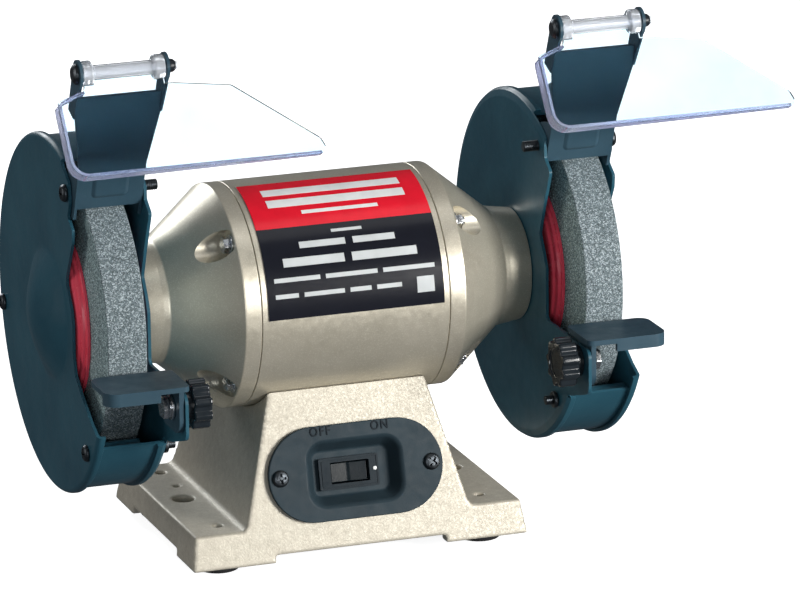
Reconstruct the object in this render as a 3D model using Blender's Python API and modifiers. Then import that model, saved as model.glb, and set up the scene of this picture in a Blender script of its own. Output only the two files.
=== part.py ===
"""Bench grinder with two 150 mm wheels, built as an assembly of separate pieces.

The shaft runs along X at the height AXIS_Z, the front faces -Y and +Z is up. Sizes are in
millimetres, and new_object and solid_from_curve turn them into metres. Each moving piece is
parented to an empty on its joint's axis.
"""

import math

import bmesh
import bpy
from mathutils import Matrix, Vector

MM = 0.001
GAP = 0.3  # clearance between pieces that touch on the real grinder
MIDDLE = (-30.27, 8.85)  # where the shaft's middle stands, with the origin under the whole grinder

# Base casting
FOOT_HEIGHT = 5.0
FLANGE_TOP = 22.1
BASE_HALF_WIDTH = 88.5
BASE_FRONT = -59.8
BASE_BACK = 73.3
FACE_SLOPE = 0.2576  # how far the front and back faces lean in for each unit of height
SIDE_DRAFT = 0.147
PEDESTAL_FOOT_HALF = 59.2
PEDESTAL_SIDE_SLOPE = 0.27
BLOCK_TOP = 112.0
PAD_HALF_GAP = 45.0
PAD_RECESS = 4.0
SIDE_RECESS = (-29.6, 43.0)
FOOT_X = 69.5
FOOT_Y = (-40.0, 54.0)
BENCH_HOLE = (72.0, 8.0)
BENCH_HOLE_RADIUS = 5.5
CORD_AT = (-25.0, 32.0)  # along X and in height, on the back face

# Motor
AXIS_Z = 129.5
SHELL_RADIUS = 56.7
SHELL_HALF = 49.1
SHOULDER_X = 57.7
NECK_X = 88.6
NECK_RADIUS = 31.1
NECK_END = (103.5, 28.5)
TIE_RADIUS = 50.0
TIE_ANGLES = (45, 135, 225, 315)
CORE_HALF = 24.0

# Wheels and guards: positions along X on the right side; the left side mirrors them
WHEEL_RADIUS = 75.0
WHEEL_X = (114.5, 134.5)
BORE_RADIUS = 6.65
WALL_X = (103.8, 105.4)
DRUM_RADIUS = 88.3
DRUM_END = 138.5
LUG_END = 140.3
RIM_RADIUS = 90.0
COVER_FACE = 142.2
COVER_THICK = 1.5
GUARD_MIDDLE = 123.0
COVER_SCREW_RADIUS = 82.4
COVER_SCREW_ANGLES = (-11, 222)

# Eye shield, its arm and its hinge, in the plane across the shaft as (y, height over the shaft)
ARM_FOOT = (-43.0, 63.5)
ARM_LEAN = math.radians(21.2)
ARM_TOP = 66.0
ARM_HALF = (17.3, 22.5)
ARM_FLARE = (24.0, 60.0)
HINGE = (-71.0, 138.5)
EAR_RADIUS = 7.0
SHIELD_TILT = math.radians(30)
ARM_SCREW = (-36.0, 70.5)
ARM_TRAVEL = 6.0

# Tool rest
REST_X = (103.2, 145.5)
REST_Y = (-108.0, -77.0)
REST_TOP = -12.3
REST_THICK = 3.0
REST_BOLT = (-93.0, -26.0)
REST_TRAVEL = 12.0

# Switch, on the front face: distances from the middle of the face's foot
PLATE_MIDDLE = 24.4
PLATE_HALF_STRAIGHT = 22.0
PLATE_RADIUS = 24.0
RECESS_AT = (-0.35, 23.8)
RECESS_FLOOR = -5.5
SWITCH_AT = (-2.1, 23.4)
ROCKER_AT = (-1.3, 23.6)
ROCKER_DEPTH = -8.1
ROCKER_HALF = 9.0
ROCKER_TILT = math.radians(8)

for old in list(bpy.data.objects):
    bpy.data.objects.remove(old)

PARTS = bpy.data.collections.new("bench_grinder")
bpy.context.scene.collection.children.link(PARTS)


# ---------------------------------------------------------------- materials


def material(name, colour, roughness, metallic=0.0, alpha=1.0):
    made = bpy.data.materials.new(name)
    made.use_nodes = True
    made.diffuse_color = (*colour, alpha)
    shader = made.node_tree.nodes["Principled BSDF"]
    shader.inputs["Base Color"].default_value = (*colour, 1.0)
    shader.inputs["Roughness"].default_value = roughness
    shader.inputs["Metallic"].default_value = metallic
    shader.inputs["Alpha"].default_value = alpha
    return made


CAST_PAINT = material("cast_paint", (0.62, 0.56, 0.42), 0.45, 0.3)
MOTOR_PAINT = material("motor_paint", (0.50, 0.46, 0.36), 0.35, 0.5)
GUARD_PAINT = material("guard_paint", (0.02, 0.06, 0.10), 0.4)
BLACK_STEEL = material("black_steel", (0.03, 0.04, 0.05), 0.5, 0.3)
PLATE_PLASTIC = material("plate_plastic", (0.09, 0.10, 0.11), 0.6)
BLACK_PLASTIC = material("black_plastic", (0.015, 0.015, 0.017), 0.4)
RUBBER = material("rubber", (0.02, 0.02, 0.02), 0.85)
ABRASIVE = material("abrasive", (0.30, 0.33, 0.33), 0.95)
RED_PAINT = material("red_paint", (0.70, 0.03, 0.06), 0.25)
ZINC = material("zinc", (0.65, 0.66, 0.66), 0.3, 1.0)
BRIGHT_STEEL = material("bright_steel", (0.55, 0.56, 0.57), 0.3, 1.0)
DARK_STEEL = material("dark_steel", (0.10, 0.10, 0.11), 0.4, 0.9)
LAMINATION = material("lamination", (0.30, 0.30, 0.32), 0.5, 0.9)
COPPER = material("copper", (0.55, 0.22, 0.08), 0.35, 0.9)
CLEAR_PLASTIC = material("clear_plastic", (0.65, 0.82, 0.95), 0.1, 0.0, 0.35)
LABEL_INK = material("label_ink", (0.03, 0.03, 0.05), 0.35)
CAPACITOR_CASE = material("capacitor_case", (0.55, 0.57, 0.60), 0.35, 0.8)
PLATED_SHEET = material("plated_sheet", (0.50, 0.51, 0.52), 0.4, 0.8)


# ---------------------------------------------------------------- outlines


def arc(centre, radius, start, end, steps):
    """Points along an arc, in degrees."""
    turn = [math.radians(start + (end - start) * i / steps) for i in range(steps + 1)]
    return [(centre[0] + radius * math.cos(t), centre[1] + radius * math.sin(t)) for t in turn]


def circle(centre, radius, steps=20):
    return arc(centre, radius, 0, 360, steps)[:-1]


def rounded(corners, radii, steps=4):
    """A closed outline whose corners are turned by arcs; radii is one number or one for each."""
    if not isinstance(radii, (list, tuple)):
        radii = [radii] * len(corners)
    outline = []
    for i, corner in enumerate(corners):
        at = Vector(corner)
        before = (Vector(corners[i - 1]) - at).normalized()
        after = (Vector(corners[(i + 1) % len(corners)]) - at).normalized()
        half = before.angle(after) / 2
        if not radii[i] or half > math.radians(89):
            outline.append(tuple(at))
            continue
        centre = at + (before + after).normalized() * radii[i] / math.sin(half)
        start = (at + before * radii[i] / math.tan(half) - centre).normalized()
        end = (at + after * radii[i] / math.tan(half) - centre).normalized()
        for step in range(steps + 1):
            outline.append(tuple(centre + start.slerp(end, step / steps) * radii[i]))
    return outline


def stadium(middle, half_straight, radius, steps=12):
    right = arc((middle[0] + half_straight, middle[1]), radius, -90, 90, steps)
    left = arc((middle[0] - half_straight, middle[1]), radius, 90, 270, steps)
    return right + left


def hexagon(centre, across_flats):
    return circle(centre, across_flats / math.sqrt(3), 6)


def sector(inner, outer, start, end, steps):
    """A piece of a ring round the shaft, in degrees from +Y towards +Z."""
    return arc((0, 0), outer, start, end, steps) + arc((0, 0), inner, end, start, steps)


# ---------------------------------------------------------------- placing


def frame(origin, u, v):
    """A matrix whose local x and y run along u and v, and whose local z is their normal."""
    u, v = Vector(u).normalized(), Vector(v).normalized()
    matrix = Matrix((u, v, u.cross(v))).transposed().to_4x4()
    matrix.translation = Vector(origin) * MM
    return matrix


def across_shaft(x):
    """Local (x, y, z) become Y, height over the shaft, and the distance along X from x."""
    return frame((x, 0, AXIS_Z), (0, 1, 0), (0, 0, 1))


def from_front(y):
    """Local x and y become X and Z, and local z points to the front."""
    return frame((0, y, 0), (1, 0, 0), (0, 0, 1))


def level(z):
    return frame((0, 0, z), (1, 0, 0), (0, 1, 0))


FACE = frame(
    (0, BASE_FRONT + FACE_SLOPE * (FLANGE_TOP - FOOT_HEIGHT), FLANGE_TOP),
    (1, 0, 0),
    (0, FACE_SLOPE, 1),
)
ALONG_X = frame((0, 0, AXIS_Z), (0, 1, 0), (0, 0, 1))


def cord_frame():
    """On the back face, with local z out of it."""
    middle = (CORD_AT[0], BASE_BACK - FACE_SLOPE * (CORD_AT[1] - FOOT_HEIGHT), CORD_AT[1])
    return frame(middle, (-1, 0, 0), (0, -FACE_SLOPE, 1))


def arm_frame(middle):
    """In the arm's plate: local x along X, local y up the arm, local z out of its front."""
    foot = (middle, ARM_FOOT[0], AXIS_Z + ARM_FOOT[1])
    return frame(foot, (1, 0, 0), (0, -math.sin(ARM_LEAN), math.cos(ARM_LEAN)))


def arm_side(x):
    """Across the arm at x: local x out of its back, local y up the arm."""
    foot = (x, ARM_FOOT[0], AXIS_Z + ARM_FOOT[1])
    back = (0, math.cos(ARM_LEAN), math.sin(ARM_LEAN))
    return frame(foot, back, (0, -math.sin(ARM_LEAN), math.cos(ARM_LEAN)))


def in_arm_side(point):
    """A (y, height over the shaft) point as (distance behind the plate, distance up the arm)."""
    dy, dz = point[0] - ARM_FOOT[0], point[1] - ARM_FOOT[1]
    behind = dy * math.cos(ARM_LEAN) + dz * math.sin(ARM_LEAN)
    return behind, -dy * math.sin(ARM_LEAN) + dz * math.cos(ARM_LEAN)


def shield_frame(middle):
    """In the shield: local x along X, local y up to the hinge, local z out of its front."""
    hinge = (middle, HINGE[0], AXIS_Z + HINGE[1])
    return frame(hinge, (1, 0, 0), (0, math.sin(SHIELD_TILT), math.cos(SHIELD_TILT)))


# ---------------------------------------------------------------- solids


def new_object(name, bm, matrix=None):
    """An object from a bmesh in millimetres, placed by a matrix in metres."""
    bmesh.ops.remove_doubles(bm, verts=bm.verts, dist=1e-4)
    bmesh.ops.recalc_face_normals(bm, faces=bm.faces)
    bm.transform(Matrix.Scale(MM, 4))
    if matrix:
        bm.transform(matrix)
    mesh = bpy.data.meshes.new(name)
    bm.to_mesh(mesh)
    bm.free()
    obj = bpy.data.objects.new(name, mesh)
    PARTS.objects.link(obj)
    return obj


def bake(obj):
    """Replaces an object's mesh by what its modifiers make of it."""
    bpy.context.view_layer.update()
    graph = bpy.context.evaluated_depsgraph_get()
    mesh = bpy.data.meshes.new_from_object(obj.evaluated_get(graph))
    obj.modifiers.clear()
    obj.data = mesh


def block(name, low, high, top_inset=(0, 0, 0, 0)):
    """A box; top_inset draws the top's -x, +x, -y and +y sides in, which makes a frustum."""
    bm = bmesh.new()
    bmesh.ops.create_cube(bm, size=1)
    for vert in bm.verts:
        share = [c + 0.5 for c in vert.co]
        vert.co = [lo + (hi - lo) * s for lo, hi, s in zip(low, high, share)]
        if share[2] > 0.5:
            vert.co.x += top_inset[0] if share[0] < 0.5 else -top_inset[1]
            vert.co.y += top_inset[2] if share[1] < 0.5 else -top_inset[3]
    return new_object(name, bm)


def slab(name, outlines, low, high, matrix):
    """Flat outlines, the first of them round the others, drawn out from low to high."""
    curve = bpy.data.curves.new(name, "CURVE")
    curve.dimensions = "2D"
    curve.fill_mode = "BOTH"
    curve.extrude = (high - low) / 2 * MM
    for outline in outlines:
        spline = curve.splines.new("POLY")
        spline.points.add(len(outline) - 1)
        for point, (x, y) in zip(spline.points, outline):
            point.co = (x * MM, y * MM, 0, 1)
        spline.use_cyclic_u = True
    guide = bpy.data.objects.new(name, curve)
    PARTS.objects.link(guide)
    bpy.context.view_layer.update()
    graph = bpy.context.evaluated_depsgraph_get()
    mesh = bpy.data.meshes.new_from_object(guide.evaluated_get(graph))
    bpy.data.objects.remove(guide)
    bm = bmesh.new()
    bm.from_mesh(mesh)
    bm.transform(Matrix.Scale(1 / MM, 4))
    bmesh.ops.translate(bm, verts=bm.verts, vec=(0, 0, (high + low) / 2))
    return new_object(name, bm, matrix)


def turned(name, profile, matrix, steps=48):
    """A profile of (distance along, radius) turned round local z, closed or ending on the axis."""
    mesh = bpy.data.meshes.new(name)
    count = len(profile)
    on_axis = profile[0][1] == 0 and profile[-1][1] == 0
    edges = [(i, (i + 1) % count) for i in range(count - 1 if on_axis else count)]
    mesh.from_pydata([(r * MM, 0, along * MM) for along, r in profile], edges, [])
    obj = bpy.data.objects.new(name, mesh)
    PARTS.objects.link(obj)
    screw = obj.modifiers.new("turn", "SCREW")
    screw.steps = screw.render_steps = steps
    screw.use_merge_vertices = True
    screw.merge_threshold = 0.000001
    bake(obj)
    bm = bmesh.new()
    bm.from_mesh(obj.data)
    bpy.data.objects.remove(obj)
    bm.transform(Matrix.Scale(1 / MM, 4))
    return new_object(name, bm, matrix)


def rod(name, radius, low, high, matrix, steps=24):
    return turned(name, [(low, 0), (low, radius), (high, radius), (high, 0)], matrix, steps)


def settle(obj):
    """Welds the points that a Boolean leaves almost together, and splits its faces into triangles."""
    bm = bmesh.new()
    bm.from_mesh(obj.data)
    bmesh.ops.remove_doubles(bm, verts=bm.verts, dist=1e-6)
    flat = math.radians(0.05)
    bmesh.ops.dissolve_limit(bm, angle_limit=flat, verts=bm.verts, edges=bm.edges)
    bmesh.ops.triangulate(bm, faces=bm.faces)
    bm.to_mesh(obj.data)
    bm.free()


def combine(obj, operation, tools):
    settle(obj)
    for tool in tools:
        settle(tool)
        boolean = obj.modifiers.new(operation.lower(), "BOOLEAN")
        boolean.operation = operation
        boolean.solver = "EXACT"
        boolean.object = tool
        bake(obj)
        settle(obj)
        bpy.data.objects.remove(tool)
    return obj


def cut(obj, *tools):
    return combine(obj, "DIFFERENCE", tools)


def join(obj, *tools):
    return combine(obj, "UNION", tools)


def soften(obj, width, angle=60, segments=2):
    """Rounds the edges that turn by more than angle."""
    bevel = obj.modifiers.new("soften", "BEVEL")
    bevel.width = width * MM
    bevel.segments = segments
    bevel.limit_method = "ANGLE"
    bevel.angle_limit = math.radians(angle)
    bevel.use_clamp_overlap = True
    bake(obj)
    return obj


def at(point, matrix):
    """A matrix moved by a local offset."""
    return matrix @ Matrix.Translation(Vector(point) * MM)


def along_x(y, height):
    """Local z runs along X through (y, height over the shaft)."""
    return at((y, height, 0), ALONG_X)


def upright(x, y):
    return frame((x, y, 0), (1, 0, 0), (0, 1, 0))


def finish(obj, finish_material, side=1):
    """Mirrors a piece to its side, gives it its material and smooths its round faces."""
    if side < 0:
        obj.data.transform(Matrix.Scale(-1, 4, (1, 0, 0)))
        obj.data.flip_normals()
    obj.data.materials.clear()
    obj.data.materials.append(finish_material)
    obj.data.shade_smooth()
    obj.data.set_sharp_from_angle(angle=math.radians(32))
    return obj


# ---------------------------------------------------------------- base


def front_face(z):
    return BASE_FRONT + FACE_SLOPE * (z - FOOT_HEIGHT)


def back_face(z):
    return BASE_BACK - FACE_SLOPE * (z - FOOT_HEIGHT)


def side_cutter(side):
    """What lies outside the pedestal and over the flange, with the fillet at its foot."""
    top_half = PEDESTAL_FOOT_HALF - PEDESTAL_SIDE_SLOPE * (BLOCK_TOP + 6 - FLANGE_TOP)
    corners = [
        (120 * side, FLANGE_TOP),
        (PEDESTAL_FOOT_HALF * side, FLANGE_TOP),
        (top_half * side, BLOCK_TOP + 6),
        (120 * side, BLOCK_TOP + 6),
    ]
    return slab("side_cutter", [rounded(corners, [0, 5, 0, 0], 3)], -120, 120, from_front(0))


def cavity():
    """The hollow under the saddle, which leaves a wall 5 mm thick at its top."""
    low, high = (-52, -48, 3), (52, 62, BLOCK_TOP + 6)
    front_inset = front_face(BLOCK_TOP) + 5 - low[1]
    back_inset = high[1] - (back_face(BLOCK_TOP) - 5)
    hollow = block("cavity", low, high, (22, 22, front_inset, back_inset))
    return cut(hollow, rod("saddle_wall", SHELL_RADIUS + 5.3, -90, 90, ALONG_X, 32))


def pocket(side):
    """The hollow under one side of the flange, round the bosses of its holes."""
    inner, outer = sorted((60 * side, 81 * side))
    hollow = block("pocket", (inner, -50, 0), (outer, 63, 17))
    spots = [(FOOT_X * side, y) for y in FOOT_Y] + [(BENCH_HOLE[0] * side, BENCH_HOLE[1])]
    return cut(hollow, *[rod("boss", 9.5, -5, 30, upright(x, y), 12) for x, y in spots])


def base_casting():
    drop = BLOCK_TOP - FOOT_HEIGHT
    body = block(
        "base_casting",
        (-BASE_HALF_WIDTH, BASE_FRONT, FOOT_HEIGHT),
        (BASE_HALF_WIDTH, BASE_BACK, BLOCK_TOP),
        (SIDE_DRAFT * drop, SIDE_DRAFT * drop, FACE_SLOPE * drop, FACE_SLOPE * drop),
    )
    soften(body, 4, 80, 2)
    cut(body, side_cutter(-1), side_cutter(1))
    cut(body, rod("saddle", SHELL_RADIUS + GAP, -90, 90, ALONG_X, 48), cavity())
    cut(body, block("ledge", (-56, -52, 0), (56, 66, 10.5)))
    cut(body, pocket(-1), pocket(1))
    recess_top = FOOT_HEIGHT + PAD_RECESS
    cut(body, block("front_recess", (-PAD_HALF_GAP, -99, 0), (PAD_HALF_GAP, 99, recess_top)))
    cut(body, block("side_recess", (-99, SIDE_RECESS[0], 0), (99, SIDE_RECESS[1], recess_top)))
    for side in (-1, 1):
        holes = [(BENCH_HOLE[0], BENCH_HOLE[1], BENCH_HOLE_RADIUS)]
        holes += [(FOOT_X, y, 2.5) for y in FOOT_Y]
        for x, y, radius in holes:
            cut(body, rod("hole", radius, -5, 40, upright(x * side, y), 16))
    window = rounded(stretched(RECESS_AT, 25.3, 16.9), 4, 2)
    cut(body, slab("switch_window", [window], -12, 12, FACE))
    for x in (-40, 40):
        cut(body, rod("screw_hole", 1.9, -14, 6, at((x, PLATE_MIDDLE, 0), FACE), 12))
    cut(body, rod("wire_hole", 7, 40, 90, upright(0, 24), 16))
    cut(body, rod("cord_hole", 6.8, -20, 12, cord_frame(), 16))
    return finish(body, CAST_PAINT)


def stretched(middle, half_width, half_height):
    (x, y), (w, h) = middle, (half_width, half_height)
    return [(x - w, y - h), (x + w, y - h), (x + w, y + h), (x - w, y + h)]


def bottom_plate():
    outline = rounded(stretched((0, 7), 55.4, 58.4), 4, 3)
    return finish(slab("bottom_plate", [outline], 9.1, 10.2, level(0)), PLATED_SHEET)


def rubber_foot(name, x, y):
    top = FOOT_HEIGHT - GAP
    profile = [(0, 0), (0, 9.8), (1.2, 11), (top, 11), (top, 2.2), (19, 2.2), (19, 0)]
    return finish(turned(name, profile, upright(x, y), 16), RUBBER)


def cord_gland():
    """A moulded gland in the back wall: flange, throat and a groove behind the wall."""
    profile = [
        (-9, 4), (-9, 6.4), (GAP, 6.4), (GAP, 11), (2.6, 11), (2.6, 7.6), (11, 6.5), (11, 4),
    ]
    return finish(turned("cord_gland", profile, cord_frame(), 14), RUBBER)


def capacitor():
    profile = [(-23, 0), (-23, 13.5), (-21.5, 15), (21.5, 15), (23, 13.5), (23, 0)]
    place = at((20, 25.6 - AXIS_Z, 0), ALONG_X)
    return finish(turned("capacitor", profile, place, 16), CAPACITOR_CASE)


# ---------------------------------------------------------------- switch


def switch_plate():
    """A plate with a sloping recess in it, whose floor holds the switch."""
    outline = stadium((0, PLATE_MIDDLE), PLATE_HALF_STRAIGHT, PLATE_RADIUS)
    plate = slab("switch_plate", [outline], GAP, 3.0, FACE)
    tray = rounded(stretched(RECESS_AT, 24.7, 16.3), 4, 2)
    join(plate, slab("tray", [tray], RECESS_FLOOR - 1.7, 1.0, FACE))
    x, y = RECESS_AT
    low, high = (x - 20, y - 11.5, RECESS_FLOOR), (x + 20, y + 11.5, 3.3)
    recess = block("recess", low, high, (-4.9, -4.9, -5, -5))
    recess.data.transform(FACE)
    window = rounded(stretched(SWITCH_AT, 15.1, 7.2), 0.8, 2)
    cut(plate, recess, slab("window", [window], -12, 0, FACE))
    for x in (-40, 40):
        cut(plate, rod("screw_hole", 1.9, -2, 6, at((x, PLATE_MIDDLE, 0), FACE), 12))
    return finish(plate, PLATE_PLASTIC)


def switch_body():
    seat = RECESS_FLOOR + GAP
    bezel_outline = rounded(stretched(SWITCH_AT, 16, 8.1), 1.2, 3)
    bezel = slab("switch_body", [bezel_outline], seat, seat + 1.9, FACE)
    case = slab("case", [rounded(stretched(SWITCH_AT, 14.8, 6.9), 0.8, 2)], -21, seat + 0.9, FACE)
    mouth = slab("mouth", [rounded(stretched(ROCKER_AT, 10, 5.4), 0.5, 2)], -16.5, 1, FACE)
    return finish(cut(join(bezel, case), mouth), BLACK_PLASTIC)


def switch_rocker():
    """The rocker turns about a line up the face; it rests with its OFF side, at -X, pressed."""
    profile = [(-ROCKER_HALF, 4.4), (-7.9, -4.6), (7.9, -4.6), (ROCKER_HALF, 4.4), (0, 2.7)]
    pivot = at((ROCKER_AT[0], ROCKER_AT[1], ROCKER_DEPTH), FACE)
    across = pivot @ Matrix.Rotation(-ROCKER_TILT, 4, "Y") @ Matrix.Rotation(math.pi / 2, 4, "X")
    return finish(slab("switch_rocker", [profile], -4.8, 4.8, across), BLACK_PLASTIC)


def plate_screw(name, x):
    profile = [(-10, 0), (-10, 1.5), (3.3, 1.5), (3.3, 4.3), (4.6, 4.0), (5.5, 2.6), (5.8, 0)]
    return finish(turned(name, profile, at((x, PLATE_MIDDLE, 0), FACE), 14), DARK_STEEL)


# ---------------------------------------------------------------- motor


def tie_points():
    turns = [math.radians(a) for a in TIE_ANGLES]
    return [(TIE_RADIUS * math.cos(t), TIE_RADIUS * math.sin(t)) for t in turns]


def motor_shell():
    inner = SHELL_RADIUS - 2.5
    profile = [(-SHELL_HALF, inner), (-SHELL_HALF, SHELL_RADIUS)]
    profile += [(SHELL_HALF, SHELL_RADIUS), (SHELL_HALF, inner)]
    shell = turned("motor_shell", profile, ALONG_X, 64)
    cut(shell, rod("wire_hole", 6.5, 60, 100, upright(0, 24), 16))
    return finish(shell, MOTOR_PAINT)


def end_bell(name, side):
    """A cast cup: a short rim, a cone, and a neck that holds the bearing."""
    neck_x, neck_r = NECK_END
    outer = [
        (SHELL_HALF + GAP, 0), (SHELL_HALF + GAP, SHELL_RADIUS), (SHOULDER_X, SHELL_RADIUS),
        (NECK_X, NECK_RADIUS), (neck_x, neck_r), (neck_x, 0),
    ]
    hollow = [(40, 0), (40, 52.5), (57, 51.5), (85, 27), (89.6, 21), (89.6, 0)]
    bell = turned(name, outer, ALONG_X, 48)
    cut(bell, *[rod("scoop", 8.5, SHOULDER_X, 99, along_x(y, h), 16) for y, h in tie_points()])
    room = turned("room", hollow, ALONG_X, 32)
    cut(room, *[rod("boss", 11.5, 30, 99, along_x(y, h), 12) for y, h in tie_points()])
    cut(bell, room)
    cut(bell, rod("bearing_seat", 17.8, 85, 101.3, ALONG_X, 32))
    cut(bell, rod("shaft_hole", 9.2, 95, 110, ALONG_X, 24))
    cut(bell, *[rod("tie_hole", 2.5, 40, 70, along_x(y, h), 12) for y, h in tie_points()])
    return finish(bell, MOTOR_PAINT, side)


def stator_core():
    """Laminations with 18 slots that open into the bore."""
    inner = []
    for slot in range(18):
        middle = slot * 20
        inner += [arc((0, 0), radius, middle + turn, middle + turn, 1)[0]
                  for radius, turn in ((32.3, -2.5), (44, -4.6), (44, 4.6), (32.3, 2.5))]
    outlines = [circle((0, 0), 53.9, 48), inner]
    outlines += [circle(point, 2.5, 10) for point in tie_points()]
    return finish(slab("stator_core", outlines, -CORE_HALF, CORE_HALF, ALONG_X), LAMINATION)


def stator_winding(name, side):
    start = CORE_HALF + GAP
    profile = [(start, 35.5), (start, 46), (40, 46), (44, 43), (44, 38.5), (40, 35.5)]
    return finish(turned(name, profile, ALONG_X, 24), COPPER, side)


def rotor_core():
    profile = [(-29, 9.3), (-29, 29), (-24, 29), (-24, 31.8), (24, 31.8), (24, 29), (29, 29), (29, 9.3)]
    return finish(turned("rotor_core", profile, ALONG_X, 24), LAMINATION)


def shaft():
    half = [(149, 0), (149, 5.6), (148, 6.35), (108.3, 6.35), (108.3, 7.2), (84, 7.2), (84, 9)]
    profile = [(-x, r) for x, r in half] + half[::-1]
    return finish(turned("shaft", profile, ALONG_X, 16), BRIGHT_STEEL)


def ball_bearing(name, side):
    """Inner and outer rings, with the shields between them set a little back."""
    profile = [
        (90, 7.5), (90, 10.3), (90.8, 10.3), (90.8, 14.6), (90, 14.6), (90, 17.5),
        (101, 17.5), (101, 14.6), (100.2, 14.6), (100.2, 10.3), (101, 10.3), (101, 7.5),
    ]
    return finish(turned(name, profile, ALONG_X, 20), BRIGHT_STEEL, side)


def tie_bolt(name, point):
    """A long bolt through the motor, with its head at one end and its nut at the other."""
    ends = SHOULDER_X + GAP
    bolt = rod(name, 2.1, -ends - 2, ends + 5, along_x(*point), 10)
    for low, high in ((-ends - 4, -ends), (ends, ends + 4)):
        join(bolt, slab("hex", [hexagon((0, 0), 8)], low, high, along_x(*point)))
    return finish(bolt, DARK_STEEL)


def rating_label():
    inner = SHELL_RADIUS + GAP
    outline = sector(inner, inner + 0.4, 97.5, 179.5, 28)
    return finish(slab("rating_label", [outline], -46, 46, ALONG_X), LABEL_INK)


# ---------------------------------------------------------------- guards


def screw_spots():
    turns = [math.radians(a) for a in COVER_SCREW_ANGLES]
    return [(COVER_SCREW_RADIUS * math.cos(t), COVER_SCREW_RADIUS * math.sin(t)) for t in turns]


def guard(name, side):
    """The inner wall and the drum in one stamping, open at the front, with the rest's bracket."""
    low, high = WALL_X
    drum_inner = DRUM_RADIUS - 1.5
    pan = [
        (low, 12), (low, 86), (low + 1.2, 88.7), (low + 3.6, RIM_RADIUS), (low + 6, RIM_RADIUS),
        (low + 6, DRUM_RADIUS), (DRUM_END, DRUM_RADIUS), (DRUM_END, drum_inner),
        (high + 1.4, drum_inner), (high, 85), (high, 12),
    ]
    body = turned(name, pan, ALONG_X, 48)
    mouth = [
        (-130, 95), (-52, 95), (-45, 79), (-45.5, 66), (-53, 60.5), (-43.5, 40), (-37.6, 25),
        (-43.5, 15.5), (-46.6, 9), (-46.6, -17.5), (-130, -17.5),
    ]
    radii = [0, 0, 0, 2, 2, 6, 3.5, 6, 4, 3, 0]
    cut(body, slab("wall_mouth", [rounded(mouth, radii)], 90, 150, ALONG_X))
    front = [(0, 0)] + arc((0, 0), 130, 107, 215, 8)
    cut(body, slab("drum_mouth", [front], high + 0.02, 150, ALONG_X))
    bracket = [(-60, -17.5), (-106, -17.5), (-106, -40), (-84, -47), (-60, -52)]
    outlines = [rounded(bracket, [0, 5, 5, 5, 0]), circle(REST_BOLT, 3.4, 16)]
    join(body, slab("bracket", outlines, low, high, ALONG_X))
    for y, height in screw_spots():
        join(body, rod("lug", 4.6, 116, LUG_END, along_x(y, height), 12))
        cut(body, rod("lug_hole", 2.0, 124, 150, along_x(y, height), 12))
    cut(body, rod("arm_screw_hole", 2.8, 90, 120, along_x(*ARM_SCREW), 16))
    return finish(body, GUARD_PAINT, side)


def guard_cover(name, side):
    """The outer dish: a rim over the drum, a flat face, and a dome over the wheel nut."""
    face = COVER_FACE
    dome = [(9.8, 0), (9.2, 14), (7.2, 24), (2.4, 35), (0, 43)]
    outer = [(face + h, r) for h, r in dome]
    outer += [(face, 86.5), (face - 0.9, 89), (face - 3.3, 90.3), (138, 90.3)]
    inner = [(138, 88.7), (face - 3.4, 88.7), (face - 1.9, 87.6), (face - COVER_THICK, 85.6)]
    inner += [(face - COVER_THICK + h, r) for h, r in dome[::-1]]
    body = turned(name, outer + inner, ALONG_X, 48)
    mouth = [
        (-130, 92), (-27.5, 92), (-27.5, 84), (-40, 76), (-40.5, 66), (-37, 58.5), (-44.6, 53.5),
        (-43.8, 47), (-31, 24.5), (-38.6, 12), (-40.7, 4), (-40.3, -11), (-43, -20.6), (-53, -28.2),
        (-69, -38), (-80, -43), (-130, -62),
    ]
    radii = [0, 0, 1, 4, 4, 2, 2, 3, 5, 6, 6, 6, 5, 8, 6, 0, 0]
    cut(body, slab("cover_mouth", [rounded(mouth, radii)], 120, 160, ALONG_X))
    for y, height in screw_spots():
        cut(body, rod("screw_hole", 2.3, 130, 150, along_x(y, height), 12))
    cut(body, rod("arm_screw_hole", 2.8, 130, 150, along_x(*ARM_SCREW), 16))
    return finish(body, GUARD_PAINT, side)


def cover_screw(name, point, side):
    face = COVER_FACE + GAP
    profile = [(126, 0), (126, 1.7), (face, 1.7), (face, 4.2), (face + 1.3, 3.9), (face + 2.4, 2.2)]
    profile += [(face + 2.6, 0)]
    return finish(turned(name, profile, along_x(*point), 12), DARK_STEEL, side)


# ---------------------------------------------------------------- eye shields


def arm_screw(name, side):
    """A long cross screw: it clamps both flanges of the arm between the guard's walls."""
    profile = [
        (98, 0), (98, 2.4), (WALL_X[0] - GAP, 2.4), (COVER_FACE + 0.4, 2.4), (COVER_FACE + 0.4, 4.4),
        (COVER_FACE + 1.9, 4.1), (COVER_FACE + 3, 2.4), (COVER_FACE + 3.2, 0),
    ]
    return finish(turned(name, profile, along_x(*ARM_SCREW), 14), DARK_STEEL, side)


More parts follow.
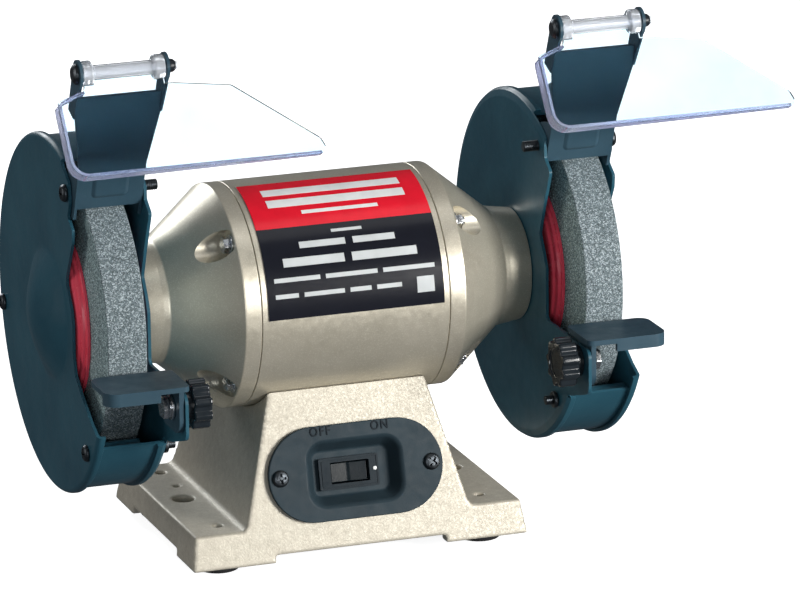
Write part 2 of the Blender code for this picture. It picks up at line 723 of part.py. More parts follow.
def shield_arm(name, side):
    """A bent plate: the spark deflector, two flanges inside the guard, and ears for the hinge."""
    middle = GUARD_MIDDLE * side
    low_half, top_half = ARM_HALF
    flare_low, flare_top = ARM_FLARE
    low_edge, top_edge = low_half - 0.7, top_half - 0.7
    right = [(low_edge, 0), (low_edge, flare_low), (top_edge, flare_top), (top_edge, ARM_TOP)]
    outline = right + [(-x, y) for x, y in right[::-1]]
    body = slab(name, [outline], -1.5, 0, arm_frame(middle))
    behind, up = in_arm_side(ARM_SCREW)
    slot = stadium_up((behind, up - ARM_TRAVEL), ARM_TRAVEL, 2.8)
    flange_corners = [(0.1, -7), (15, -7), (15, 14), (3, flare_low - 2), (0.1, flare_low - 2)]
    flange = rounded(flange_corners, [0, 3, 5, 0, 0])
    hinge_behind, hinge_up = in_arm_side(HINGE)
    ear = [(0.1, flare_top - 6)] + [(9, flare_top - 6)]
    ear += arc((hinge_behind, hinge_up), EAR_RADIUS, 0, 215, 12)
    for hand in (-1, 1):
        foot_x = sorted((middle + hand * low_half, middle + hand * (low_half - 1.5)))
        top_x = sorted((middle + hand * top_half, middle + hand * (top_half - 1.5)))
        join(body, slab("flange", [flange, slot], 0, 1.5, arm_side(foot_x[0])))
        eye = circle((hinge_behind, hinge_up), 2.2, 12)
        join(body, slab("ear", [ear, eye], 0, 1.5, arm_side(top_x[0])))
    return finish(body, BLACK_STEEL)


def stadium_up(low_end, length, radius, steps=8):
    """A slot along local y, from the centre of its lower end."""
    top = (low_end[0], low_end[1] + length)
    return arc(low_end, radius, 180, 360, steps) + arc(top, radius, 0, 180, steps)


def eye_shield(name, middle):
    """A clear panel with a pointed tail, a lip along its left and bottom edges, and a hinge tube."""
    place = shield_frame(middle)
    panel = [
        (-34.5, -13), (-33, -51.5), (96.6, -51.5), (93.2, -43.2), (53, -12.4), (24, -8.6),
        (20, -8.6), (20, 0), (-20, 0), (-20, -8.6),
    ]
    radii = [1, 9, 3.2, 3.2, 3, 3, 0, 0, 0, 3]
    body = slab(name, [rounded(panel, radii, 5)], -1, 1, place)
    outer = rounded([(-34.5, -13), (-33, -51.5), (92, -51.5)], [0, 9, 0], 5)
    inner = rounded([(-32.5, -13), (-31, -49.5), (92, -49.5)], [0, 7, 0], 5)
    join(body, slab("lip", [outer + inner[::-1]], -8, 0.2, place))
    tube = [(-20.6, 2.2), (-20.6, 5.2), (-16.5, 5.2), (-15.5, 3.4), (15.5, 3.4), (16.5, 5.2)]
    tube += [(20.6, 5.2), (20.6, 2.2)]
    hinge = turned("tube", tube, hinge_at(middle), 16)
    cut(body, rod("tube_room", 2.8, -20.3, 20.3, hinge_at(middle), 16))
    return finish(join(body, hinge), CLEAR_PLASTIC)


def hinge_screw(name, middle):
    ear = ARM_HALF[1] + GAP
    profile = [(-ear - 2.4, 0), (-ear - 2.0, 2.4), (-ear, 3.6), (-ear, 1.9)]
    profile += [(ear + 3.6, 1.9), (ear + 3.6, 0)]
    return finish(turned(name, profile, hinge_at(middle), 12), ZINC)


def hinge_nut(name, middle):
    ear = ARM_HALF[1] + GAP
    profile = [(ear, 2.2), (ear, 3.0), (ear + 1, 3.4), (ear + 3, 3.2), (ear + 4, 2.4), (ear + 4, 2.2)]
    return finish(turned(name, profile, hinge_at(middle), 12), BLACK_STEEL)


def hinge_at(middle):
    return along_x(*HINGE) @ Matrix.Translation((0, 0, middle * MM))


# ---------------------------------------------------------------- wheels


def wheel(name, side):
    low, high = WHEEL_X
    profile = [
        (low, BORE_RADIUS), (low, WHEEL_RADIUS - 0.7), (low + 0.7, WHEEL_RADIUS),
        (high - 0.7, WHEEL_RADIUS), (high, WHEEL_RADIUS - 0.7), (high, BORE_RADIUS),
    ]
    return finish(turned(name, profile, ALONG_X, 48), ABRASIVE, side)


def wheel_flange(name, contact, outward, side):
    """A dished steel flange; only its rim and hub touch the wheel. outward is -1 or 1 along X."""
    dish = [
        (0, BORE_RADIUS), (0, 14), (2.8, 18), (2.8, 38), (0, 42.5), (0, 46.7),
        (1.6, 46.7), (4.0, 44), (5.4, 36), (5.4, BORE_RADIUS),
    ]
    start = contact + outward * GAP
    profile = [(start + outward * h, r) for h, r in dish]
    return finish(turned(name, profile, ALONG_X, 24), RED_PAINT, side)


def wheel_nut(name, side):
    start = WHEEL_X[1] + 2 * GAP + 5.4
    outlines = [hexagon((0, 0), 19), circle((0, 0), BORE_RADIUS, 20)]
    return finish(slab(name, outlines, start, start + 7, ALONG_X), ZINC, side)


# ---------------------------------------------------------------- tool rests


def tool_rest(name, side):
    """A plate with a rolled front lip, and a slotted leg clamped to the guard's bracket."""
    (left, right), (front, back) = REST_X, REST_Y
    corners = [(left, front), (right, front), (right, back), (left, back)]
    outline = rounded(corners, [3, 6, 6, 2], 4)
    top = AXIS_Z + REST_TOP
    body = slab(name, [outline], top - REST_THICK, top, level(0))
    lip = [(front, REST_TOP - 6), (front + 1.2, REST_TOP - 6.6), (front + 2.4, REST_TOP - 6),
           (front + 3, REST_TOP - 2), (front + 3, REST_TOP - 0.4), (front, REST_TOP - 1.4)]
    join(body, slab("lip", [lip], left + 16, right - 5, ALONG_X))
    leg_low, leg_high = WALL_X[1] + GAP, WALL_X[1] + GAP + 2.5
    leg_back = REST_BOLT[0] + REST_TRAVEL + 6
    leg = [(-105, REST_TOP - 1), (-105, -38), (leg_back, -38), (leg_back, REST_TOP - 1)]
    y, height = REST_BOLT
    slot = stadium((y + REST_TRAVEL / 2, height), REST_TRAVEL / 2, 3.3, 8)
    join(body, slab("leg", [rounded(leg, [0, 8, 8, 0]), slot], leg_low, leg_high, ALONG_X))
    return finish(body, BLACK_STEEL, side)


def rest_bolt(name, side):
    """A hexagon bolt with its washer, through the leg's slot and the bracket into the knob."""
    start = WALL_X[1] + 2 * GAP + 2.5
    bolt = rod(name, 2.9, 92.5, start + 1, along_x(*REST_BOLT), 16)
    join(bolt, rod("washer", 6.4, start, start + 1.3, along_x(*REST_BOLT), 24))
    join(bolt, slab("hex", [hexagon((0, 0), 10)], start + 1.2, start + 5.2, along_x(*REST_BOLT)))
    return finish(bolt, ZINC, side)


def rest_knob(name, side):
    """A moulded knob with nine lobes and a collar against the bracket."""
    lobes = []
    for step in range(54):
        turn = math.radians(step * 360 / 54)
        lobes.append(((11.6 + 1.1 * math.cos(9 * turn)) * math.cos(turn),
                      (11.6 + 1.1 * math.cos(9 * turn)) * math.sin(turn)))
    end = WALL_X[0] - GAP
    knob = slab(name, [lobes], end - 13.5, end - 3, along_x(*REST_BOLT))
    join(knob, rod("collar", 8, end - 4, end, along_x(*REST_BOLT), 20))
    cut(knob, rod("bore", 3.2, end - 11.6, end + 5, along_x(*REST_BOLT), 12))
    return finish(knob, BLACK_PLASTIC, side)


# ---------------------------------------------------------------- assembly


def empty(name, x, y, z):
    made = bpy.data.objects.new(name, None)
    made.location = Vector((x, y, z)) * MM
    made.empty_display_size = 0.02
    PARTS.objects.link(made)
    bpy.context.view_layer.update()
    return made


def attach(parent, *pieces):
    """Parents pieces to an empty without moving them."""
    for piece in pieces:
        piece.parent = parent
        piece.matrix_parent_inverse = parent.matrix_world.inverted()


def build_base():
    base_casting()
    bottom_plate()
    rows = (("front", FOOT_Y[0]), ("back", FOOT_Y[1]))
    for row, y in rows:
        rubber_foot(f"{row}_left_foot", -FOOT_X, y)
        rubber_foot(f"{row}_right_foot", FOOT_X, y)
    cord_gland()
    capacitor()
    switch_plate()
    switch_body()
    plate_screw("left_plate_screw", -40)
    plate_screw("right_plate_screw", 40)
    pivot = FACE @ Vector((ROCKER_AT[0] * MM, ROCKER_AT[1] * MM, ROCKER_DEPTH * MM))
    attach(empty("rocker_pivot", *(pivot / MM)), switch_rocker())


def build_motor():
    motor_shell()
    stator_core()
    for side, hand in ((-1, "left"), (1, "right")):
        stator_winding(f"{hand}_winding", side)
        ball_bearing(f"{hand}_bearing", side)
        end_bell(f"{hand}_end_bell", side)
    for number, point in enumerate(tie_points(), 1):
        tie_bolt(f"tie_bolt_{number}", point)
    rating_label()


def build_side(hand, side, spin):
    guard(f"{hand}_guard", side)
    guard_cover(f"{hand}_guard_cover", side)
    for number, point in enumerate(screw_spots(), 1):
        cover_screw(f"{hand}_cover_screw_{number}", point, side)
    arm_screw(f"{hand}_arm_screw", side)
    attach(
        spin,
        wheel(f"{hand}_wheel", side),
        wheel_flange(f"{hand}_inner_flange", WHEEL_X[0], -1, side),
        wheel_flange(f"{hand}_outer_flange", WHEEL_X[1], 1, side),
        wheel_nut(f"{hand}_wheel_nut", side),
    )
    middle = GUARD_MIDDLE * side
    slide = empty(f"{hand}_arm_slide", middle, ARM_SCREW[0], AXIS_Z + ARM_SCREW[1])
    attach(slide, shield_arm(f"{hand}_shield_arm", side), hinge_screw(f"{hand}_hinge_screw", middle))
    attach(slide, hinge_nut(f"{hand}_hinge_nut", middle))
    hinge = empty(f"{hand}_shield_hinge", middle, HINGE[0], AXIS_Z + HINGE[1])
    attach(slide, hinge)
    attach(hinge, eye_shield(f"{hand}_eye_shield", middle))
    bolt_at = ((WALL_X[0] - 7) * side, REST_BOLT[0], AXIS_Z + REST_BOLT[1])
    attach(empty(f"{hand}_rest_slide", *bolt_at), tool_rest(f"{hand}_tool_rest", side))
    rest_bolt(f"{hand}_rest_bolt", side)
    attach(empty(f"{hand}_knob_pivot", *bolt_at), rest_knob(f"{hand}_rest_knob", side))


build_base()
build_motor()
rotor = empty("rotor_axis", 0, 0, AXIS_Z)
attach(rotor, shaft(), rotor_core())
build_side("left", -1, rotor)
build_side("right", 1, rotor)

grinder = empty("grinder", 0, 0, 0)
attach(grinder, *[obj for obj in PARTS.objects if obj is not grinder and not obj.parent])
grinder.location = (MIDDLE[0] * MM, MIDDLE[1] * MM, 0)
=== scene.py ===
"""Looks of the bench grinder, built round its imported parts.

Sizes are in millimetres. X runs along the shaft from its middle, y is measured from the shaft
(the front is -y), and heights are over the bench or, in a plane across the shaft, over the
shaft. place() and to_object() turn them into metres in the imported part's frame.
"""

from math import cos, pi, radians, sin, sqrt, tan

import bmesh
import bpy
from mathutils import Matrix, Vector


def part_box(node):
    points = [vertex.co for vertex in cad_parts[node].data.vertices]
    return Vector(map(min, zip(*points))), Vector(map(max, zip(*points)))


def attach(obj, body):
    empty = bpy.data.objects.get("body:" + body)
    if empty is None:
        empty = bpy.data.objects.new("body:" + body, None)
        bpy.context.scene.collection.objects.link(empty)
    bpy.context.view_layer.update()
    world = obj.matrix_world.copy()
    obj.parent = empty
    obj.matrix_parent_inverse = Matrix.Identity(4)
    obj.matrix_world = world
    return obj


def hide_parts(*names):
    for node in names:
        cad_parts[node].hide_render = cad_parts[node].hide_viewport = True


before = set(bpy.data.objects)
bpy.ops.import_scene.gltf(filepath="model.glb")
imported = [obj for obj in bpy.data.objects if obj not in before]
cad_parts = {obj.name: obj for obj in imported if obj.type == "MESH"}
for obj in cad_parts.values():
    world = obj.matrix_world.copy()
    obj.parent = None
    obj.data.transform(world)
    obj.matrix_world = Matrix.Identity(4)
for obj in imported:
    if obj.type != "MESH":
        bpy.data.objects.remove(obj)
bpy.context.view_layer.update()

MM = 0.001
shaft_low, shaft_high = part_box("shaft")
SHAFT = (shaft_low + shaft_high) / 2
CENTRE = Vector((SHAFT.x, SHAFT.y, 0))
AXIS_Z = SHAFT.z / MM
HANDS = (("left", -1), ("right", 1))


# ---- outlines


def arc(centre, radius, start, end, steps):
    turn = [radians(start + (end - start) * i / steps) for i in range(steps + 1)]
    return [(centre[0] + radius * cos(t), centre[1] + radius * sin(t)) for t in turn]


def circle(centre, radius, steps=48):
    return arc(centre, radius, 0, 360, steps)[:-1]


def rounded(corners, radii, steps=5):
    """A closed outline whose corners are turned by arcs; radii is one number or one for each."""
    if not isinstance(radii, (list, tuple)):
        radii = [radii] * len(corners)
    outline = []
    for i, corner in enumerate(corners):
        at = Vector(corner)
        before = (Vector(corners[i - 1]) - at).normalized()
        after = (Vector(corners[(i + 1) % len(corners)]) - at).normalized()
        half = before.angle(after) / 2
        if not radii[i] or half > radians(89.5):
            outline.append(tuple(at))
            continue
        centre = at + (before + after).normalized() * radii[i] / sin(half)
        start = (at + before * radii[i] / tan(half) - centre).normalized()
        end = (at + after * radii[i] / tan(half) - centre).normalized()
        for step in range(steps + 1):
            outline.append(tuple(centre + start.slerp(end, step / steps) * radii[i]))
    return outline


def box_corners(middle, half_width, half_height):
    (x, y), w, h = middle, half_width, half_height
    return [(x - w, y - h), (x + w, y - h), (x + w, y + h), (x - w, y + h)]


def stadium(middle, half_straight, radius, steps=24):
    right = arc((middle[0] + half_straight, middle[1]), radius, -90, 90, steps)
    left = arc((middle[0] - half_straight, middle[1]), radius, 90, 270, steps)
    return right + left


def upright_stadium(low_end, length, radius):
    top = (low_end[0], low_end[1] + length)
    return arc(low_end, radius, 180, 360, 12) + arc(top, radius, 0, 180, 12)


def sector(inner, outer, start, end, steps):
    return arc((0, 0), outer, start, end, steps) + arc((0, 0), inner, end, start, steps)


# ---- placing


def place(origin, u, v):
    """A matrix whose local x and y run along u and v, and whose local z is their normal."""
    u, v = Vector(u).normalized(), Vector(v).normalized()
    matrix = Matrix((u, v, u.cross(v))).transposed().to_4x4()
    matrix.translation = Vector(origin) * MM + CENTRE
    return matrix


def at(point, matrix):
    return matrix @ Matrix.Translation(Vector(point) * MM)


def along_x(y, height, x=0):
    return at((y, height, x), ALONG_X)


def upright(x, y, z=0):
    return place((x, y, z), (1, 0, 0), (0, 1, 0))


ALONG_X = place((0, 0, AXIS_Z), (0, 1, 0), (0, 0, 1))
FACE_SLOPE = 0.2576
FLANGE_TOP = 22.1
BASE_FRONT = -59.8
BASE_BACK = 73.3
FOOT_HEIGHT = 5.0
FACE_FOOT = BASE_FRONT + FACE_SLOPE * (FLANGE_TOP - FOOT_HEIGHT)
FACE = place((0, FACE_FOOT, FLANGE_TOP), (1, 0, 0), (0, FACE_SLOPE, 1))
CORD_AT = (-25.0, 32.0)
CORD_Y = BASE_BACK - FACE_SLOPE * (CORD_AT[1] - FOOT_HEIGHT)
CORD = place((CORD_AT[0], CORD_Y, CORD_AT[1]), (-1, 0, 0), (0, -FACE_SLOPE, 1))

ARM_FOOT = (-43.0, 63.5)
ARM_LEAN = radians(21.2)
HINGE = (-71.0, 138.5)
SHIELD_TILT = radians(30)
GUARD_MIDDLE = 123.0


def arm_frame(middle):
    foot = (middle, ARM_FOOT[0], AXIS_Z + ARM_FOOT[1])
    return place(foot, (1, 0, 0), (0, -sin(ARM_LEAN), cos(ARM_LEAN)))


def arm_side(x):
    foot = (x, ARM_FOOT[0], AXIS_Z + ARM_FOOT[1])
    back = (0, cos(ARM_LEAN), sin(ARM_LEAN))
    return place(foot, back, (0, -sin(ARM_LEAN), cos(ARM_LEAN)))


def in_arm_side(point):
    dy, dz = point[0] - ARM_FOOT[0], point[1] - ARM_FOOT[1]
    behind = dy * cos(ARM_LEAN) + dz * sin(ARM_LEAN)
    return behind, -dy * sin(ARM_LEAN) + dz * cos(ARM_LEAN)


def shield_frame(middle):
    hinge = (middle, HINGE[0], AXIS_Z + HINGE[1])
    return place(hinge, (1, 0, 0), (0, sin(SHIELD_TILT), cos(SHIELD_TILT)))


# ---- meshes


def add_object(name, data):
    obj = bpy.data.objects.new(name, data)
    bpy.context.scene.collection.objects.link(obj)
    return obj


def to_object(name, bm, matrix=None):
    """An object from a bmesh in millimetres, placed by a matrix in metres."""
    bmesh.ops.remove_doubles(bm, verts=bm.verts, dist=1e-4)
    bmesh.ops.recalc_face_normals(bm, faces=bm.faces)
    bm.transform(Matrix.Scale(MM, 4))
    if matrix:
        bm.transform(matrix)
    mesh = bpy.data.meshes.new(name)
    bm.to_mesh(mesh)
    bm.free()
    return add_object(name, mesh)


def evaluated(obj):
    bpy.context.view_layer.update()
    graph = bpy.context.evaluated_depsgraph_get()
    return bpy.data.meshes.new_from_object(obj.evaluated_get(graph))


def bake(obj):
    mesh = evaluated(obj)
    obj.modifiers.clear()
    obj.data = mesh


def from_curve(curve):
    """A bmesh in millimetres of a filled curve or a word, which is in metres."""
    guide = add_object(curve.name, curve)
    mesh = evaluated(guide)
    bpy.data.objects.remove(guide)
    bm = bmesh.new()
    bm.from_mesh(mesh)
    bm.transform(Matrix.Scale(1 / MM, 4))
    return bm


def slab(name, outlines, low, high, matrix):
    """Flat outlines, the first of them round the others, drawn out from low to high."""
    curve = bpy.data.curves.new(name, "CURVE")
    curve.dimensions = "2D"
    curve.fill_mode = "BOTH"
    curve.extrude = (high - low) / 2 * MM
    for outline in outlines:
        spline = curve.splines.new("POLY")
        spline.points.add(len(outline) - 1)
        for point, (x, y) in zip(spline.points, outline):
            point.co = (x * MM, y * MM, 0, 1)
        spline.use_cyclic_u = True
    bm = from_curve(curve)
    bmesh.ops.translate(bm, verts=bm.verts, vec=(0, 0, (high + low) / 2))
    return to_object(name, bm, matrix)


def turned(name, profile, matrix, steps=96):
    """A profile of (distance along, radius) turned round local z, closed or ending on the axis."""
    bm = bmesh.new()
    turns = [2 * pi * k / steps for k in range(steps)]
    rings = []
    for along, radius in profile:
        if radius == 0:
            rings.append([bm.verts.new((0, 0, along))] * steps)
        else:
            rings.append([bm.verts.new((radius * cos(t), radius * sin(t), along)) for t in turns])
    open_ends = profile[0][1] == 0 and profile[-1][1] == 0
    for i in range(len(rings) - open_ends):
        one, two = rings[i], rings[(i + 1) % len(rings)]
        for k in range(steps):
            n = (k + 1) % steps
            corners = list(dict.fromkeys((one[k], one[n], two[n], two[k])))
            if len(corners) > 2:
                bm.faces.new(corners)
    return to_object(name, bm, matrix)


def loft(name, rings, matrix):
    """Through rings of (outline, height), all with as many points, from the lowest up."""
    bm = bmesh.new()
    loops = [[bm.verts.new((x, y, height)) for x, y in outline] for outline, height in rings]
    for under, over in zip(loops, loops[1:]):
        for k in range(len(under)):
            n = (k + 1) % len(under)
            bm.faces.new((under[k], under[n], over[n], over[k]))
    bm.faces.new(loops[0][::-1])
    bm.faces.new(loops[-1])
    return to_object(name, bm, matrix)


def rod(name, radius, low, high, matrix, steps=32, edge=0.0):
    """A cylinder whose two edges may be rounded."""
    profile = [(low, 0), (low, radius), (high, radius), (high, 0)]
    if edge:
        profile = rounded(profile, [0, edge, edge, 0], 4)
    return turned(name, profile, matrix, steps)


def block(name, low, high, top_inset=(0, 0, 0, 0)):
    """A box between two corners; its top is drawn in at -x, +x, -y and +y."""
    bm = bmesh.new()
    bmesh.ops.create_cube(bm, size=1)
    for vert in bm.verts:
        share = [c + 0.5 for c in vert.co]
        vert.co = [lo + (hi - lo) * s for lo, hi, s in zip(low, high, share)]
        if share[2] > 0.5:
            vert.co.x += top_inset[0] if share[0] < 0.5 else -top_inset[1]
            vert.co.y += top_inset[2] if share[1] < 0.5 else -top_inset[3]
    return to_object(name, bm, upright(0, 0))


def settle(obj, triangles=True):
    """Joins doubled points and coplanar faces."""
    bm = bmesh.new()
    bm.from_mesh(obj.data)
    bmesh.ops.remove_doubles(bm, verts=bm.verts, dist=1e-6)
    flat = radians(0.05)
    bmesh.ops.dissolve_limit(bm, angle_limit=flat, verts=bm.verts, edges=bm.edges)
    if triangles:
        bmesh.ops.triangulate(bm, faces=bm.faces)
    bm.to_mesh(obj.data)
    bm.free()


def combine(obj, operation, tools):
    settle(obj)
    for tool in tools:
        settle(tool)
        boolean = obj.modifiers.new("join", "BOOLEAN")
        boolean.operation = operation
        boolean.solver = "EXACT"
        boolean.object = tool
        bake(obj)
        settle(obj)
        bpy.data.objects.remove(tool)
    return obj


def cut(obj, *tools):
    return combine(obj, "DIFFERENCE", tools)


def join(obj, *tools):
    return combine(obj, "UNION", tools)


def merge(obj, *others):
    """Puts separate bodies of one piece into one object."""
    bm = bmesh.new()
    for part in (obj, *others):
        bm.from_mesh(part.data)
    bm.to_mesh(obj.data)
    bm.free()
    for part in others:
        bpy.data.objects.remove(part)
    return obj


def soften(obj, width, angle=40, segments=3):
    """Rounds the edges that turn by more than the angle, in degrees."""
    settle(obj, False)
    bevel = obj.modifiers.new("soften", "BEVEL")
    bevel.width = width * MM
    bevel.segments = segments
    bevel.limit_method = "ANGLE"
    bevel.angle_limit = radians(angle)
    bevel.miter_outer = "MITER_ARC"
    bake(obj)
    return obj


def melt(obj, voxel, passes):
    """Remeshes a piece and rounds every edge, as a casting's are."""
    remesh = obj.modifiers.new("remesh", "REMESH")
    remesh.mode = "VOXEL"
    remesh.voxel_size = voxel * MM
    bake(obj)
    smooth = obj.modifiers.new("smooth", "SMOOTH")
    smooth.factor = 0.5
    smooth.iterations = passes
    bake(obj)
    return obj


def dress(obj, material, sharp):
    obj.data.materials.clear()
    obj.data.materials.append(material)
    obj.data.shade_smooth()
    obj.data.set_sharp_from_angle(angle=radians(sharp))


def finish(obj, name, material, body, replaces=(), side=1, sharp=38):
    """Names a piece, mirrors it to its side, gives it its material and rides it on its body."""
    obj.name = name
    if side < 0:
        mirror = Matrix.Translation((SHAFT.x, 0, 0)) @ Matrix.Scale(-1, 4, (1, 0, 0))
        obj.data.transform(mirror @ Matrix.Translation((-SHAFT.x, 0, 0)))
        obj.data.flip_normals()
    dress(obj, material, sharp)
    weigh = obj.modifiers.new("weigh", "WEIGHTED_NORMAL")
    weigh.keep_sharp = True
    bake(obj)
    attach(obj, body)
    if replaces:
        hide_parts(*([replaces] if isinstance(replaces, str) else replaces))
    return obj


# ---- materials

WHEEL_MIDDLE, WHEEL_HALF = 124.5, 10.0
PRINT_GLOSS = 0.18


class Finish:
    """A procedural material. Lengths are metres on the object, so a scale of 1000 is 1 mm."""

    def __init__(self, name, roughness=0.5, metallic=0.0, **sockets):
        self.material = bpy.data.materials.new(name)
        self.material.use_nodes = True
        self.nodes = self.material.node_tree.nodes
        self.links = self.material.node_tree.links
        self.shader = self.nodes["Principled BSDF"]
        self.shader.inputs["Roughness"].default_value = roughness
        self.shader.inputs["Metallic"].default_value = metallic
        for socket, value in sockets.items():
            self.shader.inputs[socket.replace("_", " ")].default_value = value
        self.place = self.nodes.new("ShaderNodeTexCoord").outputs["Object"]

    def add(self, kind, **settings):
        node = self.nodes.new("ShaderNode" + kind)
        for key, value in settings.items():
            setattr(node, key, value)
        return node

    def noise(self, scale, detail=3.0, roughness=0.55, stretch=None):
        node = self.add("TexNoise")
        node.inputs["Scale"].default_value = scale
        node.inputs["Detail"].default_value = detail
        node.inputs["Roughness"].default_value = roughness
        source = self.place
        if stretch:
            mapping = self.add("Mapping")
            mapping.inputs["Scale"].default_value = stretch
            self.links.new(source, mapping.inputs["Vector"])
            source = mapping.outputs["Vector"]
        self.links.new(source, node.inputs["Vector"])
        return node.outputs["Fac"]

    def cells(self, scale):
        """Cells that each have one random grey."""
        node = self.add("TexVoronoi")
        node.inputs["Scale"].default_value = scale
        self.links.new(self.place, node.inputs["Vector"])
        grey = self.add("SeparateColor")
        self.links.new(node.outputs["Color"], grey.inputs["Color"])
        return grey.outputs["Red"]

    def ramp(self, source, *stops):
        node = self.add("ValToRGB")
        ramp = node.color_ramp
        while len(ramp.elements) < len(stops):
            ramp.elements.new(0.5)
        for element, (position, colour) in zip(ramp.elements, stops):
            element.position = position
            value = (colour,) * 3 if isinstance(colour, (int, float)) else colour
            element.color = (*value, 1)
        self.links.new(source, node.inputs["Fac"])
        return node.outputs["Color"]

    def mix(self, factor, one, two, blend="MIX"):
        node = self.add("Mix", data_type="RGBA", blend_type=blend)
        inputs = {s.identifier: s for s in node.inputs}
        for key, value in (("Factor_Float", factor), ("A_Color", one), ("B_Color", two)):
            if isinstance(value, (int, float)):
                inputs[key].default_value = value
            elif isinstance(value, tuple):
                inputs[key].default_value = (*value, 1)
            else:
                self.links.new(value, inputs[key])
        return next(s for s in node.outputs if s.identifier == "Result_Color")

    def maths(self, operation, *values):
        node = self.add("Math", operation=operation)
        for socket, value in zip(node.inputs, values):
            if isinstance(value, (int, float)):
                socket.default_value = value
            else:
                self.links.new(value, socket)
        return node.outputs[0]

    def set(self, socket, value):
        if isinstance(value, tuple):
            self.shader.inputs[socket].default_value = (*value, 1)
        else:
            self.links.new(value, self.shader.inputs[socket])

    def vary(self, socket, source, low, high, start=0.3, end=0.7):
        """Drives a socket of the shader from low to high as the source goes from start to end."""
        self.set(socket, self.ramp(source, (start, low), (end, high)))

    def bump(self, height, distance, strength=1.0, before=None):
        node = self.add("Bump")
        node.inputs["Strength"].default_value = strength
        node.inputs["Distance"].default_value = distance
        self.links.new(height, node.inputs["Height"])
        if before:
            self.links.new(before, node.inputs["Normal"])
        self.links.new(node.outputs["Normal"], self.shader.inputs["Normal"])
        return node.outputs["Normal"]


def cast_finish():
    """Sand-cast metal under champagne paint, with a sparkle of flakes."""
    f = Finish("cast_paint", 0.5, 0.25)
    mottle = f.ramp(f.noise(260, 5), (0.3, (0.43, 0.395, 0.325)), (0.7, (0.52, 0.485, 0.405)))
    flakes = f.ramp(f.cells(1500), (0.0, 0.0), (0.80, 0.0), (1.0, 0.35))
    f.set("Base Color", f.mix(flakes, mottle, (0.68, 0.65, 0.56)))
    f.vary("Roughness", f.noise(900, 2), 0.36, 0.62)
    grit = f.bump(f.noise(950, 4, 0.6), 0.00014, 0.6)
    f.bump(f.noise(150, 3), 0.0004, 0.25, grit)
    return f.material


def motor_finish():
    """Smooth metallic champagne paint with a faint orange peel."""
    f = Finish("motor_paint", 0.36, 0.62, Coat_Weight=0.25, Coat_Roughness=0.25)
    tone = f.ramp(f.noise(38, 4), (0.3, (0.58, 0.535, 0.43)), (0.7, (0.66, 0.61, 0.50)))
    flakes = f.ramp(f.cells(2400), (0.0, 0.0), (0.7, 0.0), (1.0, 0.45))
    f.set("Base Color", f.mix(flakes, tone, (0.86, 0.82, 0.71)))
    f.vary("Roughness", f.noise(300, 3), 0.30, 0.42)
    peel = f.bump(f.noise(420, 2), 0.00012, 0.35)
    f.bump(f.noise(2600, 1), 0.00003, 0.35, peel)
    return f.material


def coat_finish(name, dark, light, roughness, peel=0.4):
    """Powder coat: an even colour with a fine orange peel, paler dust and small scuffs."""
    f = Finish(name, roughness, 0.0, Specular_IOR_Level=0.26)
    tone = f.ramp(f.noise(24, 5), (0.3, dark), (0.75, light))
    dust = f.ramp(f.noise(900, 6, 0.7), (0.62, 0.0), (0.85, 0.10))
    f.set("Base Color", f.mix(dust, tone, (0.20, 0.27, 0.31)))
    f.vary("Roughness", f.noise(110, 4), roughness - 0.06, roughness + 0.10)
    f.bump(f.noise(650, 2), 0.0001, peel)
    return f.material


def abrasive_finish(low, middle, high):
    """Bonded grain: dark pores, grey bond and white crystals, on paler and greener flanks."""
    f = Finish("abrasive", 0.85)
    coarse = f.cells(1900)
    fine = f.cells(3200)
    crystals = f.ramp(coarse, (0.0, low), (0.38, middle), (0.6, middle), (1.0, high))
    grain = f.mix(f.ramp(fine, (0.0, 0.0), (1.0, 0.45)), crystals, middle)
    place = f.add("SeparateXYZ")
    f.links.new(f.place, place.inputs["Vector"])
    along_shaft = f.maths("ABSOLUTE", f.maths("SUBTRACT", place.outputs["X"], SHAFT.x))
    off_middle = f.maths("ABSOLUTE", f.maths("SUBTRACT", along_shaft, WHEEL_MIDDLE * MM))
    flank = f.maths("GREATER_THAN", off_middle, (WHEEL_HALF - 0.1) * MM)
    f.set("Base Color", f.mix(flank, grain, f.mix(1.0, grain, (1.55, 1.72, 1.66), "MULTIPLY")))
    f.vary("Roughness", coarse, 0.95, 0.55, 0.0, 1.0)
    grit = f.bump(coarse, 0.00030, 0.8)
    f.bump(f.noise(500, 4), 0.0003, 0.5, grit)
    return f.material


def metal_finish(name, colour, roughness, brushed=None):
    f = Finish(name, roughness, 1.0)
    f.vary("Base Color", f.noise(330, 5), tuple(c * 0.72 for c in colour), colour)
    source = f.noise(500, 3, 0.6, brushed)
    f.vary("Roughness", source, roughness - 0.08, roughness + 0.12)
    f.bump(source, 0.00004, 0.3)
    return f.material


def plastic_finish(name, colour, roughness, grain, depth=0.00006, shine=0.5):
    f = Finish(name, roughness, 0.0, Specular_IOR_Level=shine)
    f.vary("Base Color", f.noise(60, 5), colour, tuple(c * 1.35 for c in colour), 0.3, 0.75)
    f.vary("Roughness", f.noise(240, 4), roughness - 0.05, roughness + 0.10)
    f.bump(f.noise(grain, 3), depth, 0.6)
    return f.material


def clear_finish(name, tint, roughness=0.03, clarity=1.0):
    f = Finish(name, roughness, 0.0, IOR=1.45, Transmission_Weight=clarity)
    f.vary("Base Color", f.noise(30, 3), tint, tuple(c + (1 - c) * 0.45 for c in tint))
    f.vary("Roughness", f.noise(400, 5), roughness, roughness + 0.03, 0.4, 0.8)
    return f.material


def print_finish(name, colour):
    f = Finish(name, PRINT_GLOSS, 0.0, Specular_IOR_Level=0.3)
    f.vary("Base Color", f.noise(90, 4), tuple(c * 0.86 for c in colour), colour)
    f.vary("Roughness", f.noise(400, 3), PRINT_GLOSS - 0.015, PRINT_GLOSS + 0.02)
    return f.material


